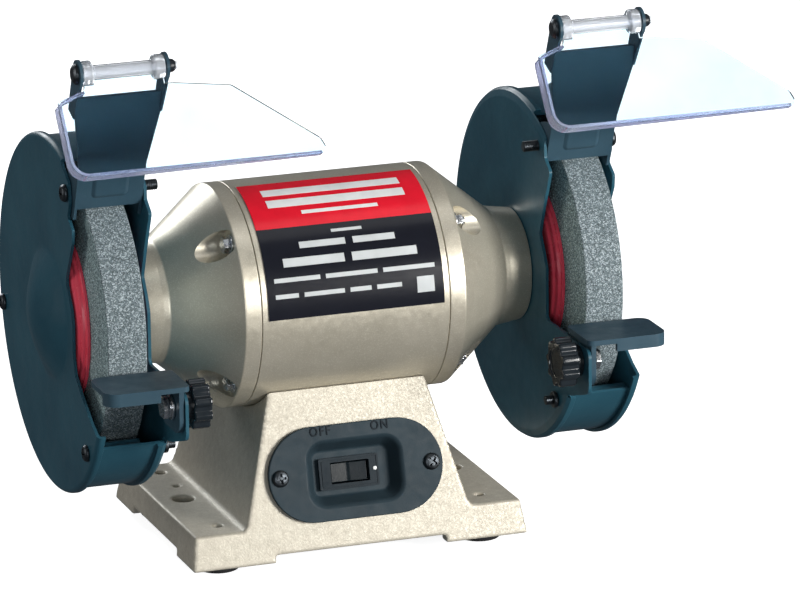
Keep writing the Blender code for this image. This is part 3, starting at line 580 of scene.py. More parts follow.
CAST = cast_finish()
MOTOR = motor_finish()
GUARD = coat_finish("guard_paint", (0.016, 0.072, 0.108), (0.028, 0.104, 0.146), 0.34)
BLACK_STEEL = coat_finish("black_steel", (0.024, 0.056, 0.082), (0.042, 0.086, 0.118), 0.38)
ABRASIVE = abrasive_finish((0.035, 0.048, 0.052), (0.125, 0.165, 0.18), (0.52, 0.60, 0.64))
PLATE = plastic_finish("plate_plastic", (0.016, 0.029, 0.038), 0.55, 1500, shine=0.22)
# The letters are embossed in the plate's own colour; this darker copy of the plate plastic is painted shade,
# standing in for the shadows round the raised letters.
PLATE_PAINTED_SHADE = plastic_finish("plate_letters", (0.010, 0.015, 0.020), 0.6, 1500, shine=0.15)
SWITCH_BLACK = plastic_finish("switch_plastic", (0.014, 0.021, 0.027), 0.3, 1500, 0.00002, 0.08)
BLACK = plastic_finish("black_plastic", (0.010, 0.013, 0.017), 0.3, 700, shine=0.3)
KNOB = plastic_finish("knob_plastic", (0.012, 0.016, 0.020), 0.14, 900, 0.00002, 0.6)
ROCKER_BLACK = plastic_finish("rocker_plastic", (0.006, 0.010, 0.013), 0.22, 1500, 0.00002, 0.13)
RUBBER = plastic_finish("rubber", (0.012, 0.012, 0.013), 0.8, 900, 0.00015)
RED = coat_finish("red_paint", (0.88, 0.075, 0.12), (0.94, 0.105, 0.16), 0.26, 0.2)
ZINC = metal_finish("zinc", (0.80, 0.82, 0.84), 0.24)
# The real hinge screw is black; this pale pin is painted light, standing in for the bright highlights seen
# on the clear hinge tube round it.
PIN_PAINTED_HIGHLIGHT = coat_finish("pin", (0.72, 0.75, 0.80), (0.80, 0.83, 0.88), 0.35)
STEEL = metal_finish("bright_steel", (0.62, 0.63, 0.65), 0.28, (1, 30, 30))
DARK_STEEL = metal_finish("dark_steel", (0.075, 0.085, 0.095), 0.38)
SHEET = metal_finish("plated_sheet", (0.55, 0.57, 0.58), 0.42, (1, 12, 1))
CAN = metal_finish("capacitor_case", (0.62, 0.64, 0.66), 0.33)
LAMINATION = metal_finish("lamination", (0.30, 0.31, 0.33), 0.5, (60, 1, 1))
COPPER = metal_finish("copper", (0.62, 0.25, 0.09), 0.36, (8, 60, 60))
CLEAR = clear_finish("clear_plastic", (0.70, 0.87, 0.955))
CLEAR_EDGE = clear_finish("clear_edge", (0.64, 0.68, 0.97), 0.22, 0.72)
# The hinge tube is the shield's clear plastic; this whiter, milkier copy is painted highlight, standing in
# for the bright sheen on the tube.
CLEAR_HINGE_PAINTED_HIGHLIGHT = clear_finish("clear_hinge", (0.90, 0.94, 1.0), 0.12, 0.72)
LABEL_RED = print_finish("label_red", (0.78, 0.012, 0.030))
LABEL_BLACK = print_finish("label_black", (0.010, 0.011, 0.017))
LABEL_WHITE = print_finish("label_white", (0.82, 0.84, 0.84))
LABEL_GREY = print_finish("label_grey", (0.60, 0.63, 0.64))
WHITE_DOT = print_finish("white_dot", (0.85, 0.86, 0.85))


# ---- base

BASE_HALF = 88.5
BASE_SIDE_SLOPE = 0.147
PEDESTAL_HALF = 59.2
PEDESTAL_SIDE_SLOPE = 0.27
BLOCK_TOP = 112.0
SHELL_RADIUS = 56.7
FOOT_SPOTS = [(x, y) for x in (-69.5, 69.5) for y in (-40.0, 54.0)]
BENCH_HOLE = (72.0, 8.0)
SMALL_HOLE = (68.7, 29.3)
RECESS_AT = (-0.35, 23.8)
RECESS_FLOOR = -5.5


def front_face(z):
    return BASE_FRONT + FACE_SLOPE * (z - FOOT_HEIGHT)


def back_face(z):
    return BASE_BACK - FACE_SLOPE * (z - FOOT_HEIGHT)


def build_base():
    drop = BLOCK_TOP - FOOT_HEIGHT
    inset = (BASE_SIDE_SLOPE * drop, BASE_SIDE_SLOPE * drop, FACE_SLOPE * drop, FACE_SLOPE * drop)
    low, high = (-BASE_HALF, BASE_FRONT, FOOT_HEIGHT), (BASE_HALF, BASE_BACK, BLOCK_TOP)
    body = block("base", low, high, inset)
    across = place((0, 0, 0), (1, 0, 0), (0, 0, 1))
    over = BLOCK_TOP + 6
    top_half = PEDESTAL_HALF - PEDESTAL_SIDE_SLOPE * (over - FLANGE_TOP)
    for side in (-1, 1):
        corners = [
            (120 * side, FLANGE_TOP), (PEDESTAL_HALF * side, FLANGE_TOP),
            (top_half * side, over), (120 * side, over),
        ]
        cut(body, slab("side", [rounded(corners, [0, 4, 0, 0], 8)], -120, 120, across))
    cut(body, rod("saddle", SHELL_RADIUS + 0.35, -90, 90, ALONG_X, 160))
    front_inset = front_face(BLOCK_TOP) + 5 + 48
    back_inset = 62 - (back_face(BLOCK_TOP) - 5)
    hollow = block("hollow", (-52, -48, 3), (52, 62, over), (22, 22, front_inset, back_inset))
    cut(hollow, rod("saddle_wall", SHELL_RADIUS + 5.3, -90, 90, ALONG_X, 64))
    cut(body, hollow, block("ledge", (-56, -52, 0), (56, 66, 10.5)))
    for side in (-1, 1):
        inner, outer = sorted((60 * side, 81 * side))
        pocket = block("pocket", (inner, -50, 0), (outer, 63, 17))
        spots = [spot for spot in FOOT_SPOTS if spot[0] * side > 0]
        spots.append((BENCH_HOLE[0] * side, BENCH_HOLE[1]))
        cut(pocket, *[rod("boss", 9.5, -5, 30, upright(x, y), 32) for x, y in spots])
        cut(body, pocket)
    cut(body, block("front_recess", (-45, -99, 0), (45, 99, 9)))
    cut(body, block("side_recess", (-99, -29.6, 0), (99, 43, 9)))
    holes = [(x, y, 2.5) for x, y in FOOT_SPOTS]
    for (x, y), radius in ((BENCH_HOLE, 5.5), (SMALL_HOLE, 1.8)):
        holes += [(-x, y, radius), (x, y, radius)]
    cut(body, *[rod("hole", r, -5, 40, upright(x, y), 32) for x, y, r in holes])
    window = rounded(box_corners(RECESS_AT, 25.3, 16.9), 4, 4)
    cut(body, slab("switch_window", [window], -12, 12, FACE))
    cut(body, rod("wire_hole", 7, 40, 90, upright(0, 24), 24))
    cut(body, rod("cord_hole", 6.8, -20, 12, CORD, 24))
    melt(body, 0.9, 3)
    finish(body, "casting", CAST, "housing", "base_casting", sharp=180)


def build_feet():
    for number, (x, y) in enumerate(FOOT_SPOTS):
        profile = rounded([(0, 0), (0, 10.2), (1.6, 11), (4.7, 11), (4.7, 0)], [0, 0.8, 0.8, 0.5, 0], 4)
        foot = turned("foot", profile, upright(x, y), 64)
        join(foot, rod("nub", 2.2, 4, 19, upright(x, y), 24, 0.8))
        node = ("front" if y < 0 else "back") + ("_left" if x < 0 else "_right") + "_foot"
        finish(foot, f"foot_{number + 1}", RUBBER, "housing", node)


def build_cord_gland():
    """A moulded gland: a ribbed flange, a tapered throat, and the groove behind the wall."""
    profile = [(-9, 4), (-9, 6), (-8.4, 6.4), (0.3, 6.4), (0.3, 10.6)]
    profile += [(0.7, 11), (2.2, 11), (2.6, 10.6), (2.6, 7.8)]
    for step in range(4):
        base = 3.2 + step * 1.9
        outer = 7.5 - step * 0.3
        profile += [(base, outer), (base + 1.0, outer), (base + 1.2, outer - 0.9), (base + 1.8, outer - 0.9)]
    profile += [(11, 5.8), (11, 4.0)]
    gland = turned("gland", profile, CORD, 64)
    finish(gland, "gland", RUBBER, "housing", "cord_gland", sharp=30)


# ---- switch

PLATE_MIDDLE = 24.4
PLATE_HIGH = 3.0
PLATE_SCREW = 40
LETTER_MIDDLE = 45.5
LETTER_WIDTH = 0.86
SWITCH_AT = (-1.9, 23.4)
ROCKER_AT = (-1.3, 23.6)
ROCKER_DEPTH = -8.1
ROCKER_TILT = radians(8)


def cross_screw(radius, height, matrix, stem):
    """A pan-head screw with a cross recess and a stem (radius, end); its seat is at local z 0."""
    crown = [(0, radius), (height * 0.35, radius), (height * 0.78, radius * 0.82)]
    crown += [(height * 0.95, radius * 0.5), (height, 0)]
    profile = rounded([(0, 0)] + crown, [0, 0.2, radius * 0.3, radius * 0.25, radius * 0.2, 0], 3)
    head = turned("screw", profile, matrix, 48)
    long, wide = radius * 0.62, radius * 0.16
    for bar in (box_corners((0, 0), long, wide), box_corners((0, 0), wide, long)):
        cut(head, slab("slot", [bar], height * 0.35, height * 2, matrix))
    settle(head, False)
    return merge(head, rod("stem", *stem, -0.01, matrix, 24))


def build_switch():
    plate = slab("plate", [stadium((0, PLATE_MIDDLE), 22, 24)], 0.3, PLATE_HIGH, FACE)
    tray = rounded(box_corners(RECESS_AT, 24.7, 16.3), 4.4, 8)
    join(plate, slab("tray", [tray], RECESS_FLOOR - 1.7, 1.0, FACE))
    steps = (
        (18.9, 10.4, -5.5), (19.7, 11.2, -5.3), (20.4, 11.9, -4.7), (23.3, 14.9, 0.5),
        (23.8, 15.4, 1.4), (24.5, 16.1, 2.2), (25.4, 17.0, 2.8), (26.6, 18.2, 3.1),
    )
    rings = [(rounded(box_corners(RECESS_AT, x, y), x - 16, 8), height) for x, y, height in steps]
    cut(plate, loft("recess", rings, FACE))
    hole = rounded(box_corners(SWITCH_AT, 14.9, 7.0), 0.8, 6)
    cut(plate, slab("hole", [hole], -12, -2, FACE))
    for x in (-PLATE_SCREW, PLATE_SCREW):
        cut(plate, rod("screw_hole", 2.1, -2, 6, at((x, PLATE_MIDDLE, 0), FACE), 24))
    soften(plate, 0.5, 50, 3)
    letters = []
    for word, x in (("OFF", -17.2), ("ON", 14.2)):
        text = bpy.data.curves.new(word, "FONT")
        text.body = word
        text.align_x = text.align_y = "CENTER"
        text.size = 6.4 * MM
        text.offset = 0.02 * MM
        text.extrude = 0.34 * MM
        text.bevel_depth = 0.06 * MM
        text.space_character = 1.25
        bm = from_curve(text)
        bmesh.ops.scale(bm, vec=(LETTER_WIDTH, 1, 1), verts=bm.verts)
        letters.append(to_object(word, bm, at((x, LETTER_MIDDLE, PLATE_HIGH + 0.05), FACE)))
    merge(letters[0], letters[1])
    # The letters' darker colour is painted shade, not a different plastic.
    finish(letters[0], "switch_letters", PLATE_PAINTED_SHADE, "housing", sharp=50)
    finish(plate, "switch_cover_plate", PLATE, "housing", "switch_plate")

    seat = RECESS_FLOOR + 0.1
    bezel = slab("bezel", [rounded(box_corners(SWITCH_AT, 15.7, 8.0), 0.8, 4)], seat, seat + 2.3, FACE)
    case = slab("case", [rounded(box_corners(SWITCH_AT, 14.7, 6.8), 0.8, 4)], -21, seat + 0.9, FACE)
    opening = slab("opening", [rounded(box_corners(ROCKER_AT, 10.2, 5.4), 0.5, 4)], -15.5, 0.5, FACE)
    join(bezel, case)
    cut(bezel, opening)
    groove_out = rounded(box_corners(SWITCH_AT, 14.7, 7.1), 0.5, 4)
    groove_in = rounded(box_corners(SWITCH_AT, 14.2, 6.6), 0.5, 4)
    cut(bezel, slab("groove", [groove_out, groove_in], seat + 2.0, seat + 5, FACE))
    soften(bezel, 0.25, 50, 2)
    finish(bezel, "switch_frame", SWITCH_BLACK, "housing", "switch_body")
    dot = rod("dot", 0.95, seat + 2.1, seat + 2.42, at((11.9, 24.0, 0), FACE), 24, 0.1)
    finish(dot, "switch_dot", WHITE_DOT, "housing")

    pivot = at((ROCKER_AT[0], ROCKER_AT[1], ROCKER_DEPTH), FACE)
    across = pivot @ Matrix.Rotation(-ROCKER_TILT, 4, "Y") @ Matrix.Rotation(pi / 2, 4, "X")
    corners = [(-9.1, 4.3), (-7.9, -4.6), (7.9, -4.6), (9.1, 4.3), (0, 2.6)]
    rocker = slab("rocker", [rounded(corners, [0, 0, 0, 0, 6], 6)], -4.8, 4.8, across)
    soften(rocker, 0.35, 50, 3)
    finish(rocker, "rocker", ROCKER_BLACK, "rocker", "switch_rocker")

    for hand, side in HANDS:
        middle = at((PLATE_SCREW * side, PLATE_MIDDLE, PLATE_HIGH), FACE)
        screw = cross_screw(4.3, 2.3, middle @ Matrix.Rotation(0.5 + side * 0.4, 4, "Z"), (1.5, -13))
        node = f"{hand}_plate_screw"
        finish(screw, node + "_head", DARK_STEEL, "housing", node)


# ---- motor

SHELL_HALF = 49.1
BELL_START, BELL_END = 49.4, 103.5
TIE_POINTS = arc((0, 0), 50.0, 45, 315, 3)


def build_motor():
    end, outer, inner = SHELL_HALF, SHELL_RADIUS, SHELL_RADIUS - 2.5
    corners = [(-end, inner), (-end, outer), (end, outer), (end, inner)]
    shell = turned("shell", rounded(corners, [0, 0.35, 0.35, 0], 3), ALONG_X, 192)
    cut(shell, rod("wire_hole", 6.5, 60, 100, upright(0, 24), 24))
    finish(shell, "shell", MOTOR, "housing", "motor_shell")
    for hand, side in HANDS:
        outer = [
            (BELL_START, 40), (BELL_START, SHELL_RADIUS), (57.7, SHELL_RADIUS), (88.6, 31.1),
            (91.6, 30.4), (BELL_END, 28.6), (BELL_END, 20),
        ]
        radii = [0, 0.5, 1.6, 3.0, 2.0, 0.7, 0]
        profile = [(BELL_START, 0)] + rounded(outer, radii, 5) + [(BELL_END, 0)]
        bell = turned("bell", profile, ALONG_X, 192)
        scoops = []
        for y, height in TIE_POINTS:
            floor = rounded([(58.3, 0), (58.3, 7.7), (99, 7.7), (99, 0)], [0, 1.0, 0, 0], 5)
            scoops.append(turned("scoop", floor, along_x(y, height), 96))
        cut(bell, *scoops)
        hollow = [(40, 0), (40, 52.5), (57, 51.5), (85, 27), (89.6, 21), (89.6, 0)]
        room = turned("room", hollow, ALONG_X, 48)
        cut(room, *[rod("boss", 11.5, 30, 99, along_x(y, h), 24) for y, h in TIE_POINTS])
        cut(bell, room)
        cut(bell, rod("bearing_seat", 17.8, 85, 101.3, ALONG_X, 48))
        cut(bell, rod("shaft_hole", 9.2, 95, 110, ALONG_X, 48))
        soften(bell, 0.5, 48, 3)
        finish(bell, f"{hand}_bell", MOTOR, "housing", f"{hand}_end_bell", side, 26)
    for number, (y, height) in enumerate(TIE_POINTS, 1):
        stem = rod("stem", 2.1, -60, 60, along_x(y, height), 24)
        for side in (-1, 1):
            base = at((0, 0, 58.4 * side), along_x(y, height))
            if side < 0:
                base = base @ Matrix.Rotation(pi, 4, "X")
            washer = rod("washer", 5.2, 0, 0.9, base, 40, 0.2)
            head = slab("hex", [circle((0, 0), 4.3, 6)], 0.9, 4.3, base)
            soften(head, 0.35, 40, 2)
            tip = rod("tip", 2.1, 4.0, 6.0 if side > 0 else 4.35, base, 24, 0.15)
            merge(stem, washer, head, tip)
        finish(stem, f"tie_rod_{number}", ZINC, "housing", f"tie_bolt_{number}")


def label_bar(x0, x1, a0, a1, base):
    """A printed bar from x0 to x1 along the shaft and from a0 to a1 degrees round it."""
    steps = max(2, round(a1 - a0))
    return slab("bar", [sector(base, base + 0.1, a0, a1, steps)], x0, x1, ALONG_X)


def build_label():
    """A red upper field and a black lower one, with plain marks in place of any lettering."""
    base = SHELL_RADIUS + 0.3
    split = 132.5
    red = slab("red", [sector(base, base + 0.3, 97.5, split, 40)], -46, 46, ALONG_X)
    black = slab("black", [sector(base, base + 0.3, split, 179.5, 48)], -46, 46, ALONG_X)
    finish(red, "label_upper", LABEL_RED, "housing", "rating_label")
    finish(black, "label_lower", LABEL_BLACK, "housing", "rating_label")
    top = base + 0.31
    bars = ((-36, 36, 105.0, 110.5), (-36, 36, 114.0, 119.5), (-20, 20, 123.0, 125.2))
    marks = merge(*[label_bar(*bar, top) for bar in bars])
    finish(marks, "label_marks_upper", LABEL_WHITE, "housing")
    rows = [
        (136.0, 137.6, ((-8, 8),)),
        (141.2, 144.6, ((-26, -2), (2, 24))),
        (149.2, 153.6, ((-36, -4), (0, 34))),
        (158.8, 161.0, ((-42, -18), (-15, 12), (15, 42))),
        (166.8, 169.0, ((-42, -30), (-27, -6), (-3, 8), (11, 24))),
    ]
    grey = [label_bar(32, 41, 165.0, 173.0, top)]
    grey += [label_bar(x0, x1, a0, a1, top) for a0, a1, bars in rows for x0, x1 in bars]
    finish(merge(*grey), "label_marks_lower", LABEL_GREY, "housing")


# ---- guards and wheels

WALL_X = (103.8, 105.4)
COVER_FACE = 142.2
ARM_SCREW = (-36.0, 70.5)
REST_BOLT = (-93.0, -26.0)
SCREW_SPOTS = arc((0, 0), 82.4, -11, 222, 1)
BORE = 6.65


def build_guard(hand, side):
    low, high = WALL_X
    pan = [
        (low, 12), (low, 85.2), (low + 1.2, 88.7), (low + 3.2, 90), (low + 6, 90),
        (low + 6, 88.3), (138.5, 88.3), (138.5, 86.8), (high + 1.4, 86.8), (high, 84.6), (high, 12),
    ]
    radii = [0, 3, 1.2, 0.8, 0.6, 0.5, 0.4, 0.4, 1.6, 2, 0]
    body = turned("guard", rounded(pan, radii, 4), ALONG_X, 192)
    mouth = [
        (-130, 95), (-52, 95), (-45, 79), (-45.5, 66), (-53, 60.5), (-43.5, 40), (-37.6, 25),
        (-43.5, 15.5), (-46.6, 9), (-46.6, -17.5), (-130, -17.5),
    ]
    bends = [0, 0, 0, 2, 2, 6, 3.5, 6, 4, 3, 0]
    cut(body, slab("wall_mouth", [rounded(mouth, bends, 8)], 90, 150, ALONG_X))
    front = [(0, 0)] + arc((0, 0), 130, 107, 215, 12)
    cut(body, slab("drum_mouth", [front], high + 0.02, 150, ALONG_X))
    bracket = [(-60, -17.5), (-106, -17.5), (-106, -40), (-84, -47), (-60, -52)]
    outlines = [rounded(bracket, [0, 5, 5, 5, 0], 8), circle(REST_BOLT, 3.4, 32)]
    join(body, slab("bracket", outlines, low, high, ALONG_X))
    for y, height in SCREW_SPOTS:
        join(body, rod("lug", 4.6, 116, 140.2, along_x(y, height), 32))
    cut(body, rod("arm_screw_hole", 2.8, 90, 120, along_x(*ARM_SCREW), 24))
    soften(body, 0.42, 50, 3)
    finish(body, f"{hand}_wheel_guard", GUARD, "housing", f"{hand}_guard", side, 40)


def build_cover(hand, side):
    face, edge, outside, inside = COVER_FACE, 138, 90.3, 88.7
    dome = [
        (9.75, 0), (9.65, 3), (9.35, 6), (8.85, 9), (8.15, 12), (7.3, 15), (6.3, 18), (5.2, 21),
        (4.0, 24), (2.7, 27), (1.35, 30), (0.45, 32), (0.1, 33.2), (0, 35),
    ]
    outer = [(face + h, r) for h, r in dome]
    rim = [(face, 52), (face, outside), (edge, outside), (edge, inside)]
    outer += rounded(rim, [0, 2.6, 0.4, 0.4], 6)
    back = face - 1.5
    inner = rounded([(edge, inside), (back, inside), (back, 52)], [0, 1.3, 0], 6)[1:]
    inner += [(back + h, r) for h, r in dome[::-1]]
    body = turned("cover", outer + inner, ALONG_X, 192)
    mouth = [
        (-130, 92), (-27.5, 92), (-27.5, 84), (-40, 76), (-40.5, 66), (-37, 58.5), (-44.6, 53.5),
        (-43.8, 47), (-31, 24.5), (-38.6, 12), (-40.7, 4), (-40.3, -11), (-43, -20.6), (-53, -28.2),
        (-69, -38), (-80, -43), (-130, -62),
    ]
    radii = [0, 0, 1, 4, 4, 2, 2, 3, 5, 6, 6, 6, 5, 8, 6, 0, 0]
    cut(body, slab("cover_mouth", [rounded(mouth, radii, 10)], 120, 160, ALONG_X))
    soften(body, 0.42, 50, 3)
    finish(body, f"{hand}_cover", GUARD, "housing", f"{hand}_guard_cover", side, 40)


def build_guard_screws(hand, side):
    for number, (y, height) in enumerate(SCREW_SPOTS, 1):
        base = along_x(y, height, COVER_FACE + 0.3) @ Matrix.Rotation(0.7 * number, 4, "Z")
        screw = cross_screw(4.2, 2.3, base, (1.7, -16))
        if number == 2:
            where = along_x(y, height)
            merge(screw, rod("end", 2.3, 97.5, 103.5, where, 32, 0.4))
            merge(screw, rod("seat", 4.2, 101.4, 103.5, where, 32, 0.5))
        name = f"{hand}_cover_screw_{number}"
        finish(screw, name + "_head", DARK_STEEL, "housing", name, side)
    base = along_x(*ARM_SCREW, COVER_FACE + 0.4)
    screw = cross_screw(4.4, 2.8, base, (2.4, -46.6))
    for k in range(9):
        low = 96.2 + k * 0.9
        merge(screw, rod("thread", 2.75, low, low + 0.4, along_x(*ARM_SCREW), 24, 0.15))
    node = f"{hand}_arm_screw"
    finish(screw, f"{hand}_clamp_screw", DARK_STEEL, "housing", node, side)


def build_wheel(hand, side):
    low, high, radius = WHEEL_MIDDLE - WHEEL_HALF, WHEEL_MIDDLE + WHEEL_HALF, 75
    corners = [(low, BORE), (low, radius), (high, radius), (high, BORE)]
    stone = turned("stone", rounded(corners, [0, 0.7, 0.7, 0], 4), ALONG_X, 240)
    finish(stone, f"{hand}_stone", ABRASIVE, "rotor", f"{hand}_wheel", side, 30)
    top, gap = 5.4, 0.3
    dish = [(0, BORE), (0, 14), (2.8, 18), (2.8, 38), (0, 42.5), (0, 46.7), (1.3, 46.7), (1.6, 46.4)]
    rim = [(1.6, 45.2), (3.0, 44.7), (3.4, 43.6), (3.4, 42.2), (4.6, 41.4), (5.0, 40.4), (5.0, 37.2)]
    rim += [(top, 36.8), (top, BORE)]
    for node, contact, out in ((f"{hand}_inner_flange", low, -1), (f"{hand}_outer_flange", high, 1)):
        start = contact + out * gap
        flange = turned("flange", [(start + out * h, r) for h, r in dish + rim], ALONG_X, 160)
        finish(flange, f"{node}_disc", RED, "rotor", node, side, 28)
    start = high + 2 * gap + top
    outlines = [circle((0, 0), 19 / sqrt(3), 6), circle((0, 0), BORE, 48)]
    nut = slab("nut", outlines, start, start + 7, ALONG_X)
    soften(nut, 0.5, 40, 2)
    finish(nut, f"{hand}_nut", ZINC, "rotor", f"{hand}_wheel_nut", side)


# ---- eye shields


def build_arm(hand, side):
    middle = GUARD_MIDDLE * side
    low_half, top_half = 17.3, 22.5
    flare_low, flare_top = 24.0, 60.0
    low_edge, top_edge = low_half - 0.1, top_half - 0.1
    right = [(low_edge, 0), (low_edge, flare_low), (top_edge, flare_top), (top_edge, 66)]
    outline = rounded(right + [(-x, y) for x, y in right[::-1]], [0.8, 12, 12, 3, 3, 12, 12, 0.8], 6)
    body = slab("arm", [outline], -1.5, 0, arm_frame(middle))
    behind, up = in_arm_side(ARM_SCREW)
    slot = upright_stadium((behind, up - 6), 6, 2.8)
    flange_corners = [(0.1, -7), (15, -7), (15, 14), (3, flare_low - 2), (0.1, flare_low - 2)]
    flange = rounded(flange_corners, [1.5, 3, 5, 1, 0], 6)
    hinge = in_arm_side(HINGE)
    ear = [(0.1, flare_top - 6), (9, flare_top - 6)] + arc(hinge, 6.98, 0, 215, 28)
    for turn in (-1, 1):
        foot_x = min(middle + turn * low_half, middle + turn * (low_half - 1.5))
        top_x = min(middle + turn * top_half, middle + turn * (top_half - 1.5))
        join(body, slab("flange", [flange, slot], 0, 1.5, arm_side(foot_x)))
        join(body, slab("ear", [ear, circle(hinge, 2.2, 24)], 0, 1.5, arm_side(top_x)))
    foot, crown = (rounded(box_corners((0, 13), 9.8 - d, 7.6 - d), 3.2 - d, 6) for d in (0, 2.2))
    pad = loft("pad", [(foot, -0.2), (crown, 0.9)], arm_frame(middle))
    soften(pad, 0.5, 25, 3)
    join(body, pad)
    soften(body, 0.5, 50, 3)
    finish(body, f"{hand}_arm_plate", BLACK_STEEL, f"{hand}_arm", f"{hand}_shield_arm")
    hinge_place = along_x(*HINGE, middle)
    ear_x = top_half + 0.3
    screw = rod("pin", 1.9, -ear_x - 0.1, ear_x + 5.0, hinge_place, 32, 0.2)
    shape = [(2.4, 0), (2.2, 3.4), (1.2, 4.8), (0, 5.1), (0, 0)]
    head = rounded([(-ear_x - out, r) for out, r in shape], [0, 0.8, 0.6, 0.1, 0], 4)
    head = turned("head", head, hinge_place, 40)
    finish(head, f"{hand}_hinge_head", DARK_STEEL, f"{hand}_arm")
    # The pin's pale colour is painted highlight for the clear tube round it.
    finish(screw, f"{hand}_hinge_pin", PIN_PAINTED_HIGHLIGHT, f"{hand}_arm", f"{hand}_hinge_screw")
    shape = [(0, 2.0), (0, 3.3), (1.2, 3.4), (2.8, 3.2), (3.9, 2.4), (3.9, 2.0)]
    cap = rounded([(ear_x + out, r) for out, r in shape], [0, 0.2, 0.5, 0.6, 0.3, 0], 4)
    cap = turned("cap", cap, hinge_place, 40)
    finish(cap, f"{hand}_hinge_cap", BLACK, f"{hand}_arm", f"{hand}_hinge_nut")


def band(name, path, depths, thick, matrix):
    """A strip of given depth behind a path in the shield's plane, thick towards the path's left."""
    bm = bmesh.new()
    rows = []
    for i, (x, y) in enumerate(path):
        before = Vector(path[max(i - 1, 0)])
        after = Vector(path[min(i + 1, len(path) - 1)])
        along = (after - before).normalized()
        inward = Vector((-along.y, along.x)) * thick
        d = depths[i]
        rows.append([
            bm.verts.new((x, y, 1.0)), bm.verts.new((x, y, -d)),
            bm.verts.new((x + inward.x, y + inward.y, -d)), bm.verts.new((x + inward.x, y + inward.y, 1.0)),
        ])
    for one, two in zip(rows, rows[1:]):
        for k in range(4):
            n = (k + 1) % 4
            bm.faces.new((one[k], one[n], two[n], two[k]))
    bm.faces.new(rows[0])
    bm.faces.new(rows[-1][::-1])
    return to_object(name, bm, matrix)


def build_shield(hand, side):
    middle = GUARD_MIDDLE * side
    where = shield_frame(middle)
    panel = [
        (-34.3, -13), (-32.8, -51.3), (96.4, -51.3), (93.0, -43.3), (53, -12.6), (24, -8.7),
        (20, -8.7), (20, 0), (-20, 0), (-20, -8.7),
    ]
    radii = [1.5, 9, 3.2, 3.2, 4, 3, 0, 0, 0, 3]
    body = slab("panel", [rounded(panel, radii, 8)], -1, 1, where)
    hinge_place = along_x(*HINGE, middle)
    cut(body, rod("room", 3.75, -20.9, 20.9, hinge_place, 40))
    ends = ((-20.9, -15.2), (15.2, 20.9))
    cut(body, *[rod("room", 6.25, low, high, hinge_place, 40) for low, high in ends])
    soften(body, 0.35, 50, 2)
    right = [(14.6, 3.7), (15.8, 6.2), (20.6, 6.2), (20.6, 2.2)]
    tube = rounded([(-x, r) for x, r in right[::-1]] + right, [0, 0.6, 1.0, 0.8, 0.8, 1.0, 0.6, 0], 5)
    tube = turned("tube", tube, hinge_place, 64)
    # The tube's whiter tint is painted highlight, not a different plastic.
    finish(tube, f"{hand}_shield_hinge", CLEAR_HINGE_PAINTED_HIGHLIGHT, f"{hand}_shield")
    rides, node = f"{hand}_shield", f"{hand}_eye_shield"
    finish(body, f"{hand}_shield_panel", CLEAR, rides, node)
    top_left = [(-20.6, -8.9), (-24.0, -9.6), (-28.0, -11.2), (-32.6, -13.2)]
    corner = arc((-24.1, -42.3), 9.0, 182, 270, 12)
    bottom = [(x, -51.3) for x in range(-20, 93, 8)] + [(92.5, -51.3)]
    path = top_left + [(-34.1, -14.6), (-34.2, -18.0)] + corner + bottom
    depths = [4.5 if y > -13.5 else 7.9 - 4.9 * max(0.0, (x + 24) / 116) for x, y in path]
    lip = band("lip", path, depths, 1.5, where)
    soften(lip, 0.3, 50, 2)
    finish(lip, f"{hand}_shield_lip", CLEAR_EDGE, rides, node)


# ---- tool rests


